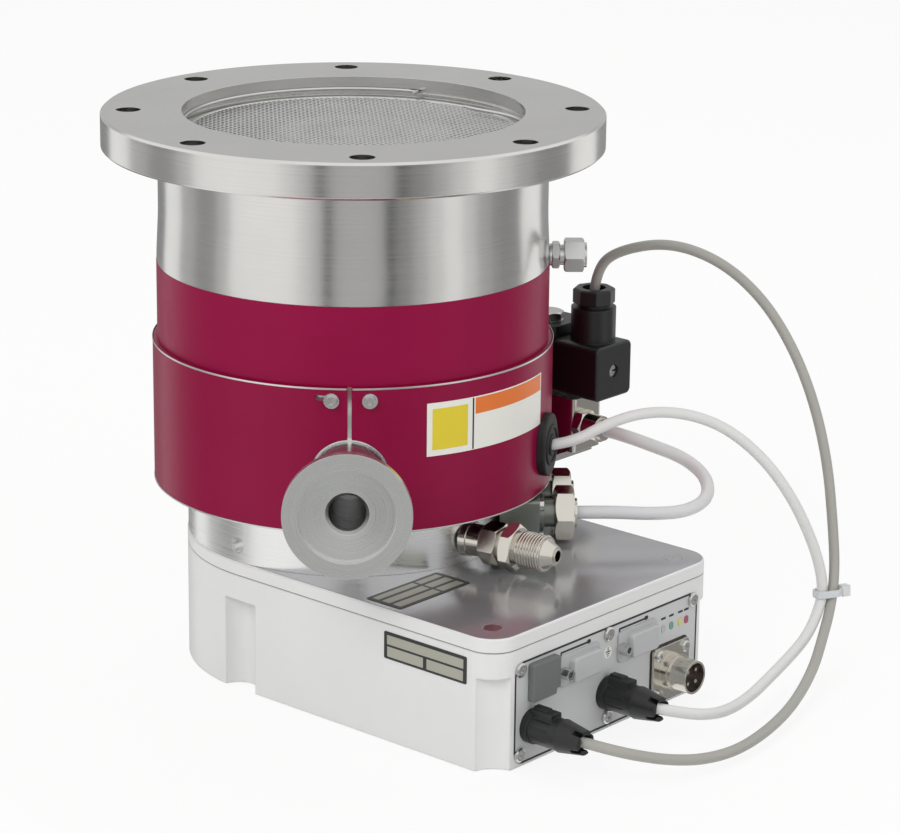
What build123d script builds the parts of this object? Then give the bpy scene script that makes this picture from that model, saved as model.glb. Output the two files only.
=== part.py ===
"""Magnetically levitated turbomolecular pump with integrated drive electronics.

Units are millimetres.  Z is the rotor axis, the origin lies on it at the foot of the
electronics housing, and the connector panel faces +X.
"""

import os
from math import cos, radians, sin, tan

from build123d import *

os.makedirs("parts", exist_ok=True)

# ---------------------------------------------------------------- driving dimensions
# Pump body, from the inlet flange down
total_height = 254.0
flange_radius = 112.5
flange_thickness = 16.0
inlet_radius = 76.5
bolt_circle_radius = 100.0
bolt_hole_radius = 5.5
bolt_count = 8
neck_radius = 87.5
shoulder_radius = 88.5
band_radius = 88.65
band_seat_radius = 88.25
band_top = 186.2
jacket_top = 150.9
jacket_bottom = 85.1
jacket_radius = 90.8
casing_bottom = 128.0
housing_radius = 75.6
screen_depth = 8.0
stack_radius = 74.0

# Turbine
rotor_hub_radius = 40.0
rotor_tip_radius = 70.4
rotor_bell_radius = 33.0
stage_count = 5
stage_pitch = 18.5
top_stage_bottom = 229.0
top_stage_height = 10.0
stage_height = 9.0
stage_gap = 1.25
rotor_blade_count = 20
stator_blade_count = 20
stator_bore_radius = 42.0
stator_rim_radius = 71.6
drum_radius = 60.0
drum_bottom = 94.0
drum_top = 150.0

# Electronics housing
base_half_width = 76.0
base_front = 152.2
base_height = 60.2
plate_thickness = 6.4
base_corner = 13.0
base_wall = 5.0
panel_thickness = 4.0
panel_gap = 0.6
panel_half_width = 62.4
panel_low = 1.8
panel_high = 46.8

# Exhaust port, a DN 40 small flange
exhaust_angle = -48.0
exhaust_height = 110.3
exhaust_reach = 142.9
exhaust_radius = 27.5
exhaust_recess_radius = 20.6
exhaust_bore_radius = 8.0
port_radius = 16.0
port_start = 95.0

# Cords
grey_cable_radius = 2.4
white_cable_radius = 2.5
water_tube_radius = 3.0


def outward(angle, radius, height):
    """A plane facing away from the pump axis, its x along the rim and its y upward."""
    x, y = cos(radians(angle)), sin(radians(angle))
    return Plane(origin=(x * radius, y * radius, height), x_dir=(-y, x, 0), z_dir=(x, y, 0))


def forward(x, y=0.0, z=0.0):
    """A plane facing +X, its x along +Y and its y upward."""
    return Plane(origin=(x, y, z), x_dir=(0, 1, 0), z_dir=(1, 0, 0))


def turned(*points):
    """A closed face from (radius, height) points, revolved about the pump axis."""
    with BuildSketch(Plane.XZ) as profile:
        with BuildLine():
            Polyline(*points, close=True)
        make_face()
    revolve(profile.sketch, axis=Axis.Z)


def tube_ring(outer, inner, low, high):
    """A plain ring about the pump axis."""
    with BuildSketch(Plane.XY.offset(low)) as ring:
        Circle(outer)
        Circle(inner, mode=Mode.SUBTRACT)
    extrude(ring.sketch, amount=high - low)


def chamfered_hex(place, across_flats, length, turn=0.0):
    """A hexagon whose corners are turned off at 30 degrees on both ends."""
    half = across_flats / 2
    corner = half / cos(radians(30))
    face = half * 0.97
    drop = (corner - face) * tan(radians(30))
    with BuildPart() as head:
        with BuildSketch() as outline:
            RegularPolygon(half, 6, major_radius=False, rotation=turn)
        extrude(outline.sketch, amount=length)
        with BuildSketch(Plane.XZ) as barrel:
            with BuildLine():
                Polyline(
                    (0, 0),
                    (face, 0),
                    (corner, drop),
                    (corner, length - drop),
                    (face, length),
                    (0, length),
                    close=True,
                )
            make_face()
        revolve(barrel.sketch, axis=Axis.Z, mode=Mode.INTERSECT)
    return place.location * head.part


def base_outline(inset=0.0):
    """Plan of the electronics housing: a half round end and a square end."""
    with BuildLine() as outline:
        half = base_half_width - inset
        front = base_front - inset
        corner = base_corner - inset
        Line((0, half), (front - corner, half))
        RadiusArc((front - corner, half), (front, half - corner), corner)
        Line((front, half - corner), (front, corner - half))
        RadiusArc((front, corner - half), (front - corner, -half), corner)
        Line((front - corner, -half), (0, -half))
        RadiusArc((0, -half), (0, half), half)
    make_face(outline.edges())


# ---------------------------------------------------------------- pump casing
flange_bottom = total_height - flange_thickness
ledge = total_height - screen_depth - 2.0

with BuildPart() as casing:
    with BuildSketch(Plane.XZ):
        with BuildLine():
            Polyline(
                (inlet_radius, total_height),
                (flange_radius - 1, total_height),
                (flange_radius, total_height - 1),
                (flange_radius, flange_bottom + 1),
                (flange_radius - 1, flange_bottom),
                (neck_radius + 2, flange_bottom),
            )
            RadiusArc((neck_radius + 2, flange_bottom), (neck_radius, flange_bottom - 2), -2)
            Line((neck_radius, flange_bottom - 2), (neck_radius, 212))
            Spline(
                (neck_radius, 212),
                (shoulder_radius, band_top),
                tangents=((0, -1), (0, -1)),
            )
            Polyline(
                (shoulder_radius, band_top),
                (band_seat_radius, band_top),
                (band_seat_radius, casing_bottom),
                (stack_radius, casing_bottom),
                (stack_radius, ledge),
                (inlet_radius, ledge),
                (inlet_radius, total_height),
            )
        make_face()
    revolve(axis=Axis.Z)
    with BuildSketch(Plane.XY.offset(total_height)):
        with PolarLocations(bolt_circle_radius, bolt_count):
            Circle(bolt_hole_radius)
    extrude(amount=-flange_thickness, mode=Mode.SUBTRACT)
    # retaining ring groove
    with BuildSketch(Plane.XY.offset(total_height - 6.6)):
        Circle(inlet_radius + 1.0)
        Circle(inlet_radius - 1.0, mode=Mode.SUBTRACT)
    extrude(amount=1.6, mode=Mode.SUBTRACT)
    # vent port
    with BuildSketch(outward(42, 70, 188)):
        Circle(1.7)
    extrude(amount=25, mode=Mode.SUBTRACT)

# ---------------------------------------------------------------- lower housing
motor_floor = 78.0
with BuildPart() as lower_housing:
    turned(
        (26, base_height),
        (housing_radius, base_height),
        (housing_radius, 107),
        (band_seat_radius, 112),
        (band_seat_radius, casing_bottom),
        (66, casing_bottom),
        (66, 88),
        (62, motor_floor + 4),
        (34, motor_floor + 4),
        (34, motor_floor),
        (26, motor_floor),
    )
    # exhaust boss
    with BuildSketch(outward(exhaust_angle, 70, exhaust_height)):
        Circle(port_radius)
    extrude(amount=port_start - 70)
    with BuildSketch(outward(exhaust_angle, 55, exhaust_height)):
        Circle(exhaust_bore_radius)
    extrude(amount=port_start - 55, mode=Mode.SUBTRACT)
    # plugged access hole on the flank
    with BuildSketch(outward(-89.7, housing_radius - 4, 67.8)):
        Circle(3.6)
    extrude(amount=6, mode=Mode.SUBTRACT)

with BuildPart() as exhaust_port:
    with BuildSketch(Plane.XZ):
        with BuildLine():
            Polyline(
                (exhaust_bore_radius, 0),
                (port_radius, 0),
                (port_radius, exhaust_reach - port_start - 14),
                (port_radius + 4, exhaust_reach - port_start - 7.5),
                (exhaust_radius, exhaust_reach - port_start - 4),
                (exhaust_radius, exhaust_reach - port_start),
                (exhaust_recess_radius, exhaust_reach - port_start),
                (exhaust_recess_radius, exhaust_reach - port_start - 3),
                (exhaust_bore_radius + 1.4, exhaust_reach - port_start - 4.2),
                (exhaust_bore_radius, exhaust_reach - port_start - 6),
                close=True,
            )
        make_face()
    revolve(axis=Axis.Z)
exhaust_place = outward(exhaust_angle, port_start, exhaust_height)
exhaust_part = exhaust_place.location * exhaust_port.part

# ---------------------------------------------------------------- colour band and jacket
with BuildPart() as colour_band:
    tube_ring(band_radius, band_seat_radius, jacket_top, band_top)

slit_half_width = 0.9
screw_height = 145.3
screw_angles = (-52.9, -42.5)
grommet_angle = 24.5
grommet_height = 107.0
with BuildPart() as heating_jacket:
    tube_ring(jacket_radius, band_seat_radius, jacket_bottom, jacket_top)
    fillet(heating_jacket.edges().filter_by(GeomType.CIRCLE).sort_by(SortBy.RADIUS)[-2:], 1.0)
    # collar opening for the exhaust and the slit that lets the jacket slide over it
    with BuildSketch(outward(exhaust_angle, band_seat_radius - 8, exhaust_height)):
        Circle(port_radius + 1.5)
        with Locations((0, (jacket_top - exhaust_height) / 2 + 3)):
            Rectangle(2 * slit_half_width, jacket_top - exhaust_height + 6)
    extrude(amount=14, mode=Mode.SUBTRACT)
    # adjusting slot beside the left screw
    with BuildSketch(outward(-55.6, band_seat_radius - 2, screw_height + 1)):
        SlotOverall(5.5, 2.4)
    extrude(amount=6, mode=Mode.SUBTRACT)
    # opening for the heater grommet
    with BuildSketch(outward(grommet_angle, band_seat_radius - 6, grommet_height)):
        SlotOverall(25, 18, rotation=90)
    extrude(amount=10, mode=Mode.SUBTRACT)

with BuildPart() as jacket_screws:
    for angle in screw_angles:
        with BuildSketch(outward(angle, jacket_radius, screw_height)):
            Circle(3.4)
        extrude(amount=0.8)
        with BuildSketch(outward(angle, jacket_radius + 0.8, screw_height)):
            Circle(2.5)
        extrude(amount=2.4)
        with BuildSketch(outward(angle, jacket_radius + 1.6, screw_height)):
            RegularPolygon(1.3, 6)
        extrude(amount=2, mode=Mode.SUBTRACT)

grommet_face = 94.2
with BuildPart() as cable_grommet:
    with BuildSketch(outward(grommet_angle, 84, grommet_height)):
        SlotOverall(29, 22, rotation=90)
    extrude(amount=grommet_face - 84)
    fillet(cable_grommet.faces().filter_by(GeomType.PLANE).sort_by(SortBy.DISTANCE)[-1].edges(), 1.2)
    with BuildSketch(Plane.XY.offset(jacket_bottom)):
        Circle(jacket_radius)
    extrude(amount=60, mode=Mode.SUBTRACT)
    with BuildSketch(outward(grommet_angle, 84, grommet_height)):
        SlotOverall(25, 18, rotation=90)
    extrude(amount=8)
    with BuildSketch(Plane.XY.offset(jacket_bottom)):
        Circle(band_seat_radius)
    extrude(amount=60, mode=Mode.SUBTRACT)

# ---------------------------------------------------------------- vent fitting
vent_angle = 42.0
vent_height = 188.0
vent_bore_radius = 1.7
with BuildPart() as vent_fitting:
    with BuildSketch(outward(vent_angle, 84, vent_height)):
        Circle(5.0)
    extrude(amount=5.5)
    with BuildSketch(Plane.XY.offset(vent_height - 20)):
        Circle(band_radius)
    extrude(amount=40, mode=Mode.SUBTRACT)
    with BuildSketch(outward(vent_angle, 84, vent_height)):
        Circle(vent_bore_radius)
    extrude(amount=6)
    add(chamfered_hex(outward(vent_angle, 89.5, vent_height), 11.2, 3.5))
    with BuildSketch(outward(vent_angle, 93, vent_height)):
        Circle(4.6)
    extrude(amount=2)
with BuildPart() as vent_nut:
    add(chamfered_hex(outward(vent_angle, 95, vent_height), 14.0, 9))
    with BuildSketch(outward(vent_angle, 104, vent_height)):
        Circle(5.6)
    extrude(amount=1.2)
    with BuildSketch(outward(vent_angle, 100, vent_height)):
        Circle(3.2)
    extrude(amount=6, mode=Mode.SUBTRACT)

# ---------------------------------------------------------------- inlet screen and ring
screen_top = total_height - screen_depth
screen_pitch = 15.0
screen_wires = 9
with BuildPart() as inlet_screen:
    with BuildSketch(Plane.XY.offset(screen_top - 2)):
        Circle(inlet_radius - 0.3)
        Circle(inlet_radius - 4, mode=Mode.SUBTRACT)
        with GridLocations(screen_pitch, 0, screen_wires, 1):
            Rectangle(1.2, 2 * inlet_radius)
        with GridLocations(0, screen_pitch, 1, screen_wires):
            Rectangle(2 * inlet_radius, 1.2)
        Circle(inlet_radius - 0.3, mode=Mode.INTERSECT)
    extrude(amount=1.0)

ring_radius = inlet_radius - 0.4
ring_height = total_height - 5.8
wire_radius = 0.78
with BuildPart() as retaining_ring:
    with BuildLine():
        hoop = CenterArc((0, 0, ring_height), ring_radius, 110, 290)
        Spline(hoop @ 1, (36, 59.5, ring_height), (13, 60.5, ring_height), tangents=(hoop % 1, (-1, 0.25, 0)))
    with BuildSketch(Plane(origin=hoop @ 0, z_dir=hoop % 0)):
        Circle(wire_radius)
    sweep()
    # the other end is turned in as a short hook
    hook = Plane(origin=hoop @ 0, z_dir=(0.34, -0.94, 0))
    with BuildSketch(hook):
        Circle(wire_radius)
    extrude(amount=6)

# ---------------------------------------------------------------- turbine rotor
def blade_section(radius, low, height, pitch, thickness):
    """Leaning parallelogram across a blade, on a plane square to its span."""
    lean = height / tan(radians(pitch)) / 2
    side = thickness / sin(radians(pitch)) / 2
    with BuildSketch(forward(radius, 0, low)) as section:
        with BuildLine():
            Polyline(
                (-lean - side, 0),
                (-lean + side, 0),
                (lean + side, height),
                (lean - side, height),
                close=True,
            )
        make_face()
    return section.sketch


def blade(root, tip, low, height, root_pitch, tip_pitch, thickness):
    """One twisted blade that points along +X."""
    with BuildPart() as single:
        foot = blade_section(root, low, height, root_pitch, thickness)
        end = blade_section(tip, low, height, tip_pitch, thickness * 0.7)
        loft([foot, end], ruled=True)
    return single.part


def stage_low(index):
    return top_stage_bottom - stage_pitch * index


def stage_tall(index):
    return top_stage_height if index == 0 else stage_height


rotor_pitches = ((48, 40), (44, 36), (38, 30), (32, 25), (28, 22))
rotor_blades = [
    blade(rotor_hub_radius - 1.5, rotor_tip_radius, stage_low(i), stage_tall(i), *pitch, 1.6)
    for i, pitch in enumerate(rotor_pitches)
]
with BuildPart() as turbine_rotor:
    turned(
        (8, 222),
        (rotor_bell_radius, 222),
        (rotor_bell_radius, drum_top - 6),
        (drum_radius - 4, drum_top - 6),
        (drum_radius - 4, drum_bottom),
        (drum_radius, drum_bottom),
        (drum_radius, drum_top),
        (rotor_hub_radius, drum_top),
        (rotor_hub_radius, 240),
        (rotor_hub_radius - 4, 242),
        (24, 242),
        (20, 232),
        (8, 232),
    )
    for single in rotor_blades:
        with PolarLocations(0, rotor_blade_count):
            add(single)

with BuildPart() as rotor_shaft:
    turned(
        (0, 64),
        (6, 64),
        (6, 69),
        (20, 69),
        (20, 72),
        (8, 72),
        (8, 216),
        (16, 216),
        (16, 222),
        (8, 222),
        (8, 238),
        (0, 238),
    )
with BuildPart() as rotor_nut:
    with BuildSketch(Plane.XY.offset(232)):
        RegularPolygon(13, 6)
        Circle(8, mode=Mode.SUBTRACT)
    extrude(amount=5)
with BuildPart() as rotor_sleeves:
    tube_ring(11.5, 8, 120, 160)
    tube_ring(9.6, 8, 90, 108)
    tube_ring(9.6, 8, 172, 190)

# ---------------------------------------------------------------- stator stack
stator_pitches = (44, 38, 32, 28)


def stator_bottom(index):
    return stage_low(index + 1) + stage_tall(index + 1) + stage_gap


stator_height = stage_pitch - stage_height - 2 * stage_gap
stator_discs = []
for index, pitch in enumerate(stator_pitches):
    low = stator_bottom(index)
    vane = blade(stator_bore_radius + 1, stator_rim_radius + 0.8, low, stator_height, 180 - pitch, 180 - pitch, 1.2)
    with BuildPart() as disc:
        tube_ring(stack_radius, stator_rim_radius, low, low + stator_height)
        tube_ring(stator_bore_radius + 1.6, stator_bore_radius, low, low + stator_height)
        with PolarLocations(0, stator_blade_count):
            add(vane)
    stator_discs.append(disc.part)

spacer_rings = []
for index in range(1, 4):
    low = stator_bottom(index) + stator_height
    high = stator_bottom(index - 1)
    with BuildPart() as spacer:
        tube_ring(stack_radius, stator_rim_radius, low, high)
    spacer_rings.append(spacer.part)
with BuildPart() as end_spacers:
    tube_ring(stack_radius, stator_rim_radius, stator_bottom(0) + stator_height, ledge)
    tube_ring(stack_radius, stator_rim_radius, 148, stator_bottom(3))
spacer_rings.append(end_spacers.part)

with BuildPart() as holweck_stator:
    turned(
        (drum_radius + 0.6, 92),
        (66, 92),
        (66, casing_bottom),
        (stack_radius, casing_bottom),
        (stack_radius, 148),
        (drum_radius + 0.6, 148),
    )

# ---------------------------------------------------------------- motor and bearings
with BuildPart() as stator_column:
    tube_ring(31, 24, motor_floor, 214)
    tube_ring(34, 24, motor_floor, motor_floor + 4)
with BuildPart() as motor_stator:
    tube_ring(24, 12, 122, 158)
with BuildPart() as radial_bearings:
    tube_ring(24, 10, 91, 107)
    tube_ring(24, 10, 173, 189)
with BuildPart() as touchdown_bearings:
    tube_ring(24, 8.3, 80, 88)
    tube_ring(24, 8.3, 200, 208)
with BuildPart() as axial_bearing:
    tube_ring(26, 8.5, 72.5, motor_floor)
    tube_ring(26, 8.5, 62, 68.5)
    tube_ring(26, 21, 68.5, 72.5)

# ---------------------------------------------------------------- electronics housing
notch_top = 42.0
corner_notches = (13.0, [(base_front + 2.2, side * (base_half_width + 2.2)) for side in (-1, 1)])
side_notches = (9.5, [(2.0, side * (base_half_width + 1.5)) for side in (-1, 1)])
floor_thickness = 4.0
with BuildPart() as base_housing:
    with BuildSketch():
        base_outline()
    extrude(amount=base_height - plate_thickness)
    with BuildSketch(Plane.XY.offset(floor_thickness)):
        base_outline(base_wall)
        for radius, places in (corner_notches, side_notches):
            with Locations(*places):
                Circle(radius + base_wall, mode=Mode.SUBTRACT)
    extrude(amount=base_height, mode=Mode.SUBTRACT)
    chamfer(base_housing.faces().sort_by(Axis.Z)[-1].outer_wire().edges(), 0.5)
    # rebate that the connector panel lies in, and the window behind it
    with BuildSketch(forward(base_front)):
        with Locations((0, (panel_low + panel_high) / 2)):
            RectangleRounded(
                2 * (panel_half_width + panel_gap),
                panel_high - panel_low + 2 * panel_gap,
                5.6,
            )
    extrude(amount=-panel_thickness, mode=Mode.SUBTRACT)
    with BuildSketch(forward(base_front)):
        with Locations((0, 25)):
            Rectangle(100, 34)
    extrude(amount=-base_wall - 1, mode=Mode.SUBTRACT)
    # finger-wide notches below the plate screws
    for radius, places in (corner_notches, side_notches):
        with BuildSketch():
            with Locations(*places):
                Circle(radius)
        extrude(amount=notch_top, mode=Mode.SUBTRACT)

plate_bottom = base_height - plate_thickness
plate_screws = [(138.5, -62.0), (138.5, 62.0), (-52.0, -38.0), (-52.0, 38.0)]
with BuildPart() as top_plate:
    with BuildSketch(Plane.XY.offset(plate_bottom)):
        base_outline()
    extrude(amount=plate_thickness)
    chamfer(top_plate.faces().sort_by(Axis.Z)[-1].outer_wire().edges(), 0.8)
    with Locations((138.5, -62, base_height), (138.5, 62, base_height)):
        CounterSinkHole(2.2, 4.2)
with BuildPart() as plate_screw_pair:
    for side in (-1, 1):
        with Locations((138.5, 62 * side, base_height)):
            Cone(2.2, 4.2, 2.0, align=(Align.CENTER, Align.CENTER, Align.MAX))
            Cylinder(2.2, plate_thickness, align=(Align.CENTER, Align.CENTER, Align.MAX))

with BuildPart() as control_board:
    with BuildSketch(Plane.XY.offset(14)):
        with Locations((62, 0)):
            Rectangle(140, 96)
    extrude(amount=1.6)
with BuildPart() as board_standoffs:
    with BuildSketch(Plane.XY.offset(floor_thickness)):
        with Locations((62, 0)):
            with GridLocations(128, 84, 2, 2):
                Circle(3.2)
    extrude(amount=14 - floor_thickness)
with BuildPart() as drive_module:
    with BuildSketch(Plane.XY.offset(15.6)):
        with Locations((30, 0)):
            Rectangle(60, 70)
    extrude(amount=20)
    with BuildSketch(Plane.XY.offset(35.6)):
        with Locations((30, 0)):
            with GridLocations(0, 8, 1, 8):
                Rectangle(60, 2.5)
    extrude(amount=14)

# ---------------------------------------------------------------- connector panel
panel_screw_places = [(y, z) for y in (-59.8, -0.5, 59.4) for z in (5.6, 44.2)]
cover_places = [-20.5, 19.5]
cover_height = 35.8
plug_places = {"plug_lower": (-52.0, 17.0), "plug_upper": (-0.6, 17.0)}
power_place = (43.2, 15.2)
with BuildPart() as connector_panel:
    with BuildSketch(forward(base_front - panel_thickness)):
        with Locations((0, (panel_low + panel_high) / 2)):
            RectangleRounded(2 * panel_half_width, panel_high - panel_low, 5.0)
    extrude(amount=panel_thickness)
    with BuildSketch(forward(base_front - panel_thickness)):
        with Locations(*panel_screw_places):
            Circle(1.5)
        with Locations(*plug_places.values()):
            Circle(6.0)
        with Locations(power_place):
            Circle(6.4)
    extrude(amount=panel_thickness, mode=Mode.SUBTRACT)
with BuildPart() as panel_screws:
    for place in panel_screw_places:
        with BuildSketch(forward(base_front)):
            with Locations(place):
                Circle(3.2)
        extrude(amount=0.6)
        with BuildSketch(forward(base_front)):
            with Locations(place):
                Circle(1.5)
        extrude(amount=-panel_thickness)
        with BuildSketch(forward(base_front + 0.6)):
            with Locations(place):
                RegularPolygon(1.4, 6)
        extrude(amount=-1.2, mode=Mode.SUBTRACT)
with BuildPart() as blank_cover:
    with BuildSketch(forward(base_front)):
        with Locations((-45.4, 36.8)):
            Rectangle(18, 17)
        with Locations((-36.4, 28.3)):
            Rectangle(5, 5, mode=Mode.SUBTRACT)
    extrude(amount=3.5)
    fillet(blank_cover.edges().filter_by(Axis.X), 1.0)
    fillet(blank_cover.faces().sort_by(Axis.X)[-1].edges(), 0.6)

covers = []
for centre in cover_places:
    with BuildPart() as cover:
        with BuildSketch(forward(base_front)):
            with Locations((centre, cover_height)):
                RectangleRounded(27, 14.5, 2.5)
        extrude(amount=0.8)
        with BuildSketch(forward(base_front)):
            with Locations((centre + 2.5, cover_height - 0.5)):
                RectangleRounded(19, 11, 2)
        extrude(amount=4.0)
        fillet(cover.faces().sort_by(Axis.X)[-1].edges(), 0.8)
    covers.append(cover.part)
with BuildPart() as cover_screws:
    for centre in cover_places:
        with BuildSketch(forward(base_front + 0.8)):
            with Locations((centre - 11.5, cover_height - 0.5)):
                RegularPolygon(2.7, 6)
        extrude(amount=4.5)
        with BuildSketch(forward(base_front + 2)):
            with Locations((centre - 11.5, cover_height - 0.5)):
                Circle(1.4)
        extrude(amount=5, mode=Mode.SUBTRACT)

with BuildPart() as power_inlet:
    with BuildSketch(forward(base_front)):
        with Locations(power_place):
            RectangleRounded(25.5, 25.5, 2.2)
    extrude(amount=1.8)
    with BuildSketch(forward(base_front + 1.8)):
        with Locations(power_place):
            Circle(8.4)
    extrude(amount=4.2)
    with BuildSketch(forward(base_front + 6)):
        with Locations(power_place):
            Circle(7.6)
    extrude(amount=9)
    with BuildSketch(forward(base_front)):
        with Locations(power_place):
            Circle(6.7)
    extrude(amount=16, mode=Mode.SUBTRACT)
    with BuildSketch(forward(base_front)):
        with Locations(power_place):
            with GridLocations(18.5, 18.5, 2, 2):
                Circle(1.4)
    extrude(amount=3, mode=Mode.SUBTRACT)
with BuildPart() as power_insulator:
    with BuildSketch(forward(base_front)):
        with Locations(power_place):
            Circle(6.7)
    extrude(amount=9)
    with BuildSketch(forward(base_front + 4)):
        with Locations(power_place):
            with PolarLocations(3.9, 4, 45):
                Circle(0.8)
    extrude(amount=6, mode=Mode.SUBTRACT)
with BuildPart() as power_pins:
    with BuildSketch(forward(base_front + 4)):
        with Locations(power_place):
            with PolarLocations(3.9, 4, 45):
                Circle(0.8)
    extrude(amount=9.5)
with BuildPart() as power_screws:
    with BuildSketch(forward(base_front + 1.8)):
        with Locations(power_place):
            with GridLocations(18.5, 18.5, 2, 2):
                Circle(2.6)
    extrude(amount=1.8)
    with BuildSketch(forward(base_front)):
        with Locations(power_place):
            with GridLocations(18.5, 18.5, 2, 2):
                Circle(1.4)
    extrude(amount=1.8)

plug_length = 30.0
plugs = {}
for name, place in plug_places.items():
    with BuildPart() as plug:
        with BuildSketch(forward(base_front - 2)):
            with Locations(place):
                Circle(6.0)
        extrude(amount=2)
        with BuildSketch(forward(base_front)):
            with Locations(place):
                Circle(7.6)
        extrude(amount=3.6)
        with BuildSketch(forward(base_front + 3.6)):
            with Locations(place):
                Circle(7.0)
        extrude(amount=14.4)
        with BuildSketch(forward(base_front + 18)):
            with Locations(place):
                Circle(7.4)
        with BuildSketch(forward(base_front + plug_length)):
            with Locations(place):
                Circle(5.4)
        loft()
        # grip flutes round the clamp
        with BuildSketch(forward(base_front + 5)):
            with Locations(place):
                with PolarLocations(7.4, 10, 18):
                    Circle(0.7)
        extrude(amount=9, mode=Mode.SUBTRACT)
        # latch on top
        with BuildSketch(forward(base_front + 3)):
            with Locations((place[0], place[1] + 7.0)):
                RectangleRounded(6.5, 4.0, 1.0)
        extrude(amount=11)
        with BuildSketch(forward(base_front + 3)):
            with Locations((place[0], place[1] + 8.0)):
                RectangleRounded(4.0, 4.0, 0.8)
        extrude(amount=7)
        # cable exit between the clamp's split fingers
        with BuildSketch(forward(base_front + plug_length)):
            with Locations(place):
                Circle(3.6)
        extrude(amount=-4, mode=Mode.SUBTRACT)
        with BuildSketch(forward(base_front + plug_length)):
            with Locations(place):
                Rectangle(16, 2.2, rotation=35)
                Rectangle(16, 2.2, rotation=125)
        extrude(amount=-4, mode=Mode.SUBTRACT)
    plugs[name] = plug.part

# ---------------------------------------------------------------- water fitting (flare)
fitting_angle = 9.7
fitting_origin = (75.8, -5.3, 71.4)
fitting_axis = (cos(radians(fitting_angle)), sin(radians(fitting_angle)), 0)


def fitting_plane(distance):
    x, y, z = fitting_origin
    dx, dy, dz = fitting_axis
    origin = (x + dx * distance, y + dy * distance, z)
    return Plane(origin=origin, x_dir=(-dy, dx, 0), z_dir=fitting_axis)


def rod(start, length, radius):
    with BuildSketch(fitting_plane(start)) as section:
        Circle(radius)
    extrude(section.sketch, amount=length)


with BuildPart() as water_fitting:
    rod(-1.5, 3.5, 8.0)
    rod(2, 7, 7.4)
    add(chamfered_hex(fitting_plane(9), 17.0, 9, 8))
    rod(18, 2, 7.0)
    add(chamfered_hex(fitting_plane(20), 19.0, 6, 20))
    rod(26, 2, 7.0)
    rod(28, 12, 7.9)
    with BuildSketch(fitting_plane(40)):
        Circle(6.8)
    with BuildSketch(fitting_plane(45)):
        Circle(4.2)
    loft()
    rod(45, 0.6, 3.2)
    with BuildSketch(fitting_plane(12)):
        Circle(2.6)
    extrude(amount=40, mode=Mode.SUBTRACT)
with BuildPart() as fitting_seat:
    tube_ring(housing_radius, 60, base_height, 90)
water_part = water_fitting.part - fitting_seat.part - Location((0, 0, 75)) * Cylinder(60, 60)

# ---------------------------------------------------------------- water manifold
manifold_angle = 42.9
manifold_height = 73.6
hose_places = {"front": 26.0, "rear": 0.0}
hose_nut_start = 91.3
hose_nut_length = 9.0


def manifold_plane(distance, across):
    """Station on a hose fitting: distance along its axis, across toward the panel side."""
    dx, dy = cos(radians(manifold_angle)), sin(radians(manifold_angle))
    origin = (dx * distance + dy * across, dy * distance - dx * across, manifold_height)
    return Plane(origin=origin, x_dir=(-dy, dx, 0), z_dir=(dx, dy, 0))


with BuildPart() as water_manifold:
    with BuildSketch(manifold_plane(66, 14)):
        with Locations((0, -1.4)):
            RectangleRounded(56, 2 * (manifold_height - base_height) - 2.8, 1.5)
    extrude(amount=18)
    with BuildSketch(Plane.XY.offset(base_height)):
        Circle(housing_radius)
    extrude(amount=40, mode=Mode.SUBTRACT)
    for across in hose_places.values():
        with BuildSketch(manifold_plane(84, across)):
            Circle(8.5)
        extrude(amount=2.5)
        with BuildSketch(manifold_plane(86.5, across)):
            Circle(6.5)
        extrude(amount=hose_nut_start - 86.5)
with BuildPart() as manifold_screws:
    for across in (38.0, 13.0, -11.0):
        for rise in (-7.5, 7.5):
            with BuildSketch(manifold_plane(84, across)):
                with Locations((0, rise)):
                    Circle(2.7)
            extrude(amount=2.0)
            with BuildSketch(manifold_plane(86, across)):
                with Locations((0, rise)):
                    RegularPolygon(1.5, 6)
            extrude(amount=-1.4, mode=Mode.SUBTRACT)

hose_nuts = {}
for name, across in hose_places.items():
    with BuildPart() as nut:
        add(chamfered_hex(manifold_plane(hose_nut_start, across), 22.0, hose_nut_length))
        with BuildSketch(manifold_plane(hose_nut_start + hose_nut_length, across)):
            Circle(6.6)
        extrude(amount=1.4)
        with BuildSketch(manifold_plane(hose_nut_start + hose_nut_length + 1.4, across)):
            Circle(water_tube_radius)
        extrude(amount=-4.4, mode=Mode.SUBTRACT)
    hose_nuts[name] = nut.part

# ---------------------------------------------------------------- solenoid water valve
valve_x, valve_y = 30.0, 103.0
valve_bottom = 84.0
valve_top = 112.0
coil_top = 143.0
with BuildPart() as valve_bracket:
    with BuildSketch(Plane.XY.offset(valve_bottom - 3)):
        with Locations((36, 91)):
            RectangleRounded(30, 44, 2)
        Circle(housing_radius, mode=Mode.SUBTRACT)
    extrude(amount=3)
    with BuildSketch(Plane.XY.offset(valve_bottom - 17)):
        with Locations((36, 71)):
            Rectangle(30, 12)
        Circle(housing_radius, mode=Mode.SUBTRACT)
        Circle(housing_radius + 3, mode=Mode.INTERSECT)
    extrude(amount=14)
with BuildPart() as bracket_screws:
    for x in (28.5, 43.5):
        with Locations((x, 107, valve_bottom - 3)):
            Cylinder(2.6, 2.4, align=(Align.CENTER, Align.CENTER, Align.MAX))

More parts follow.
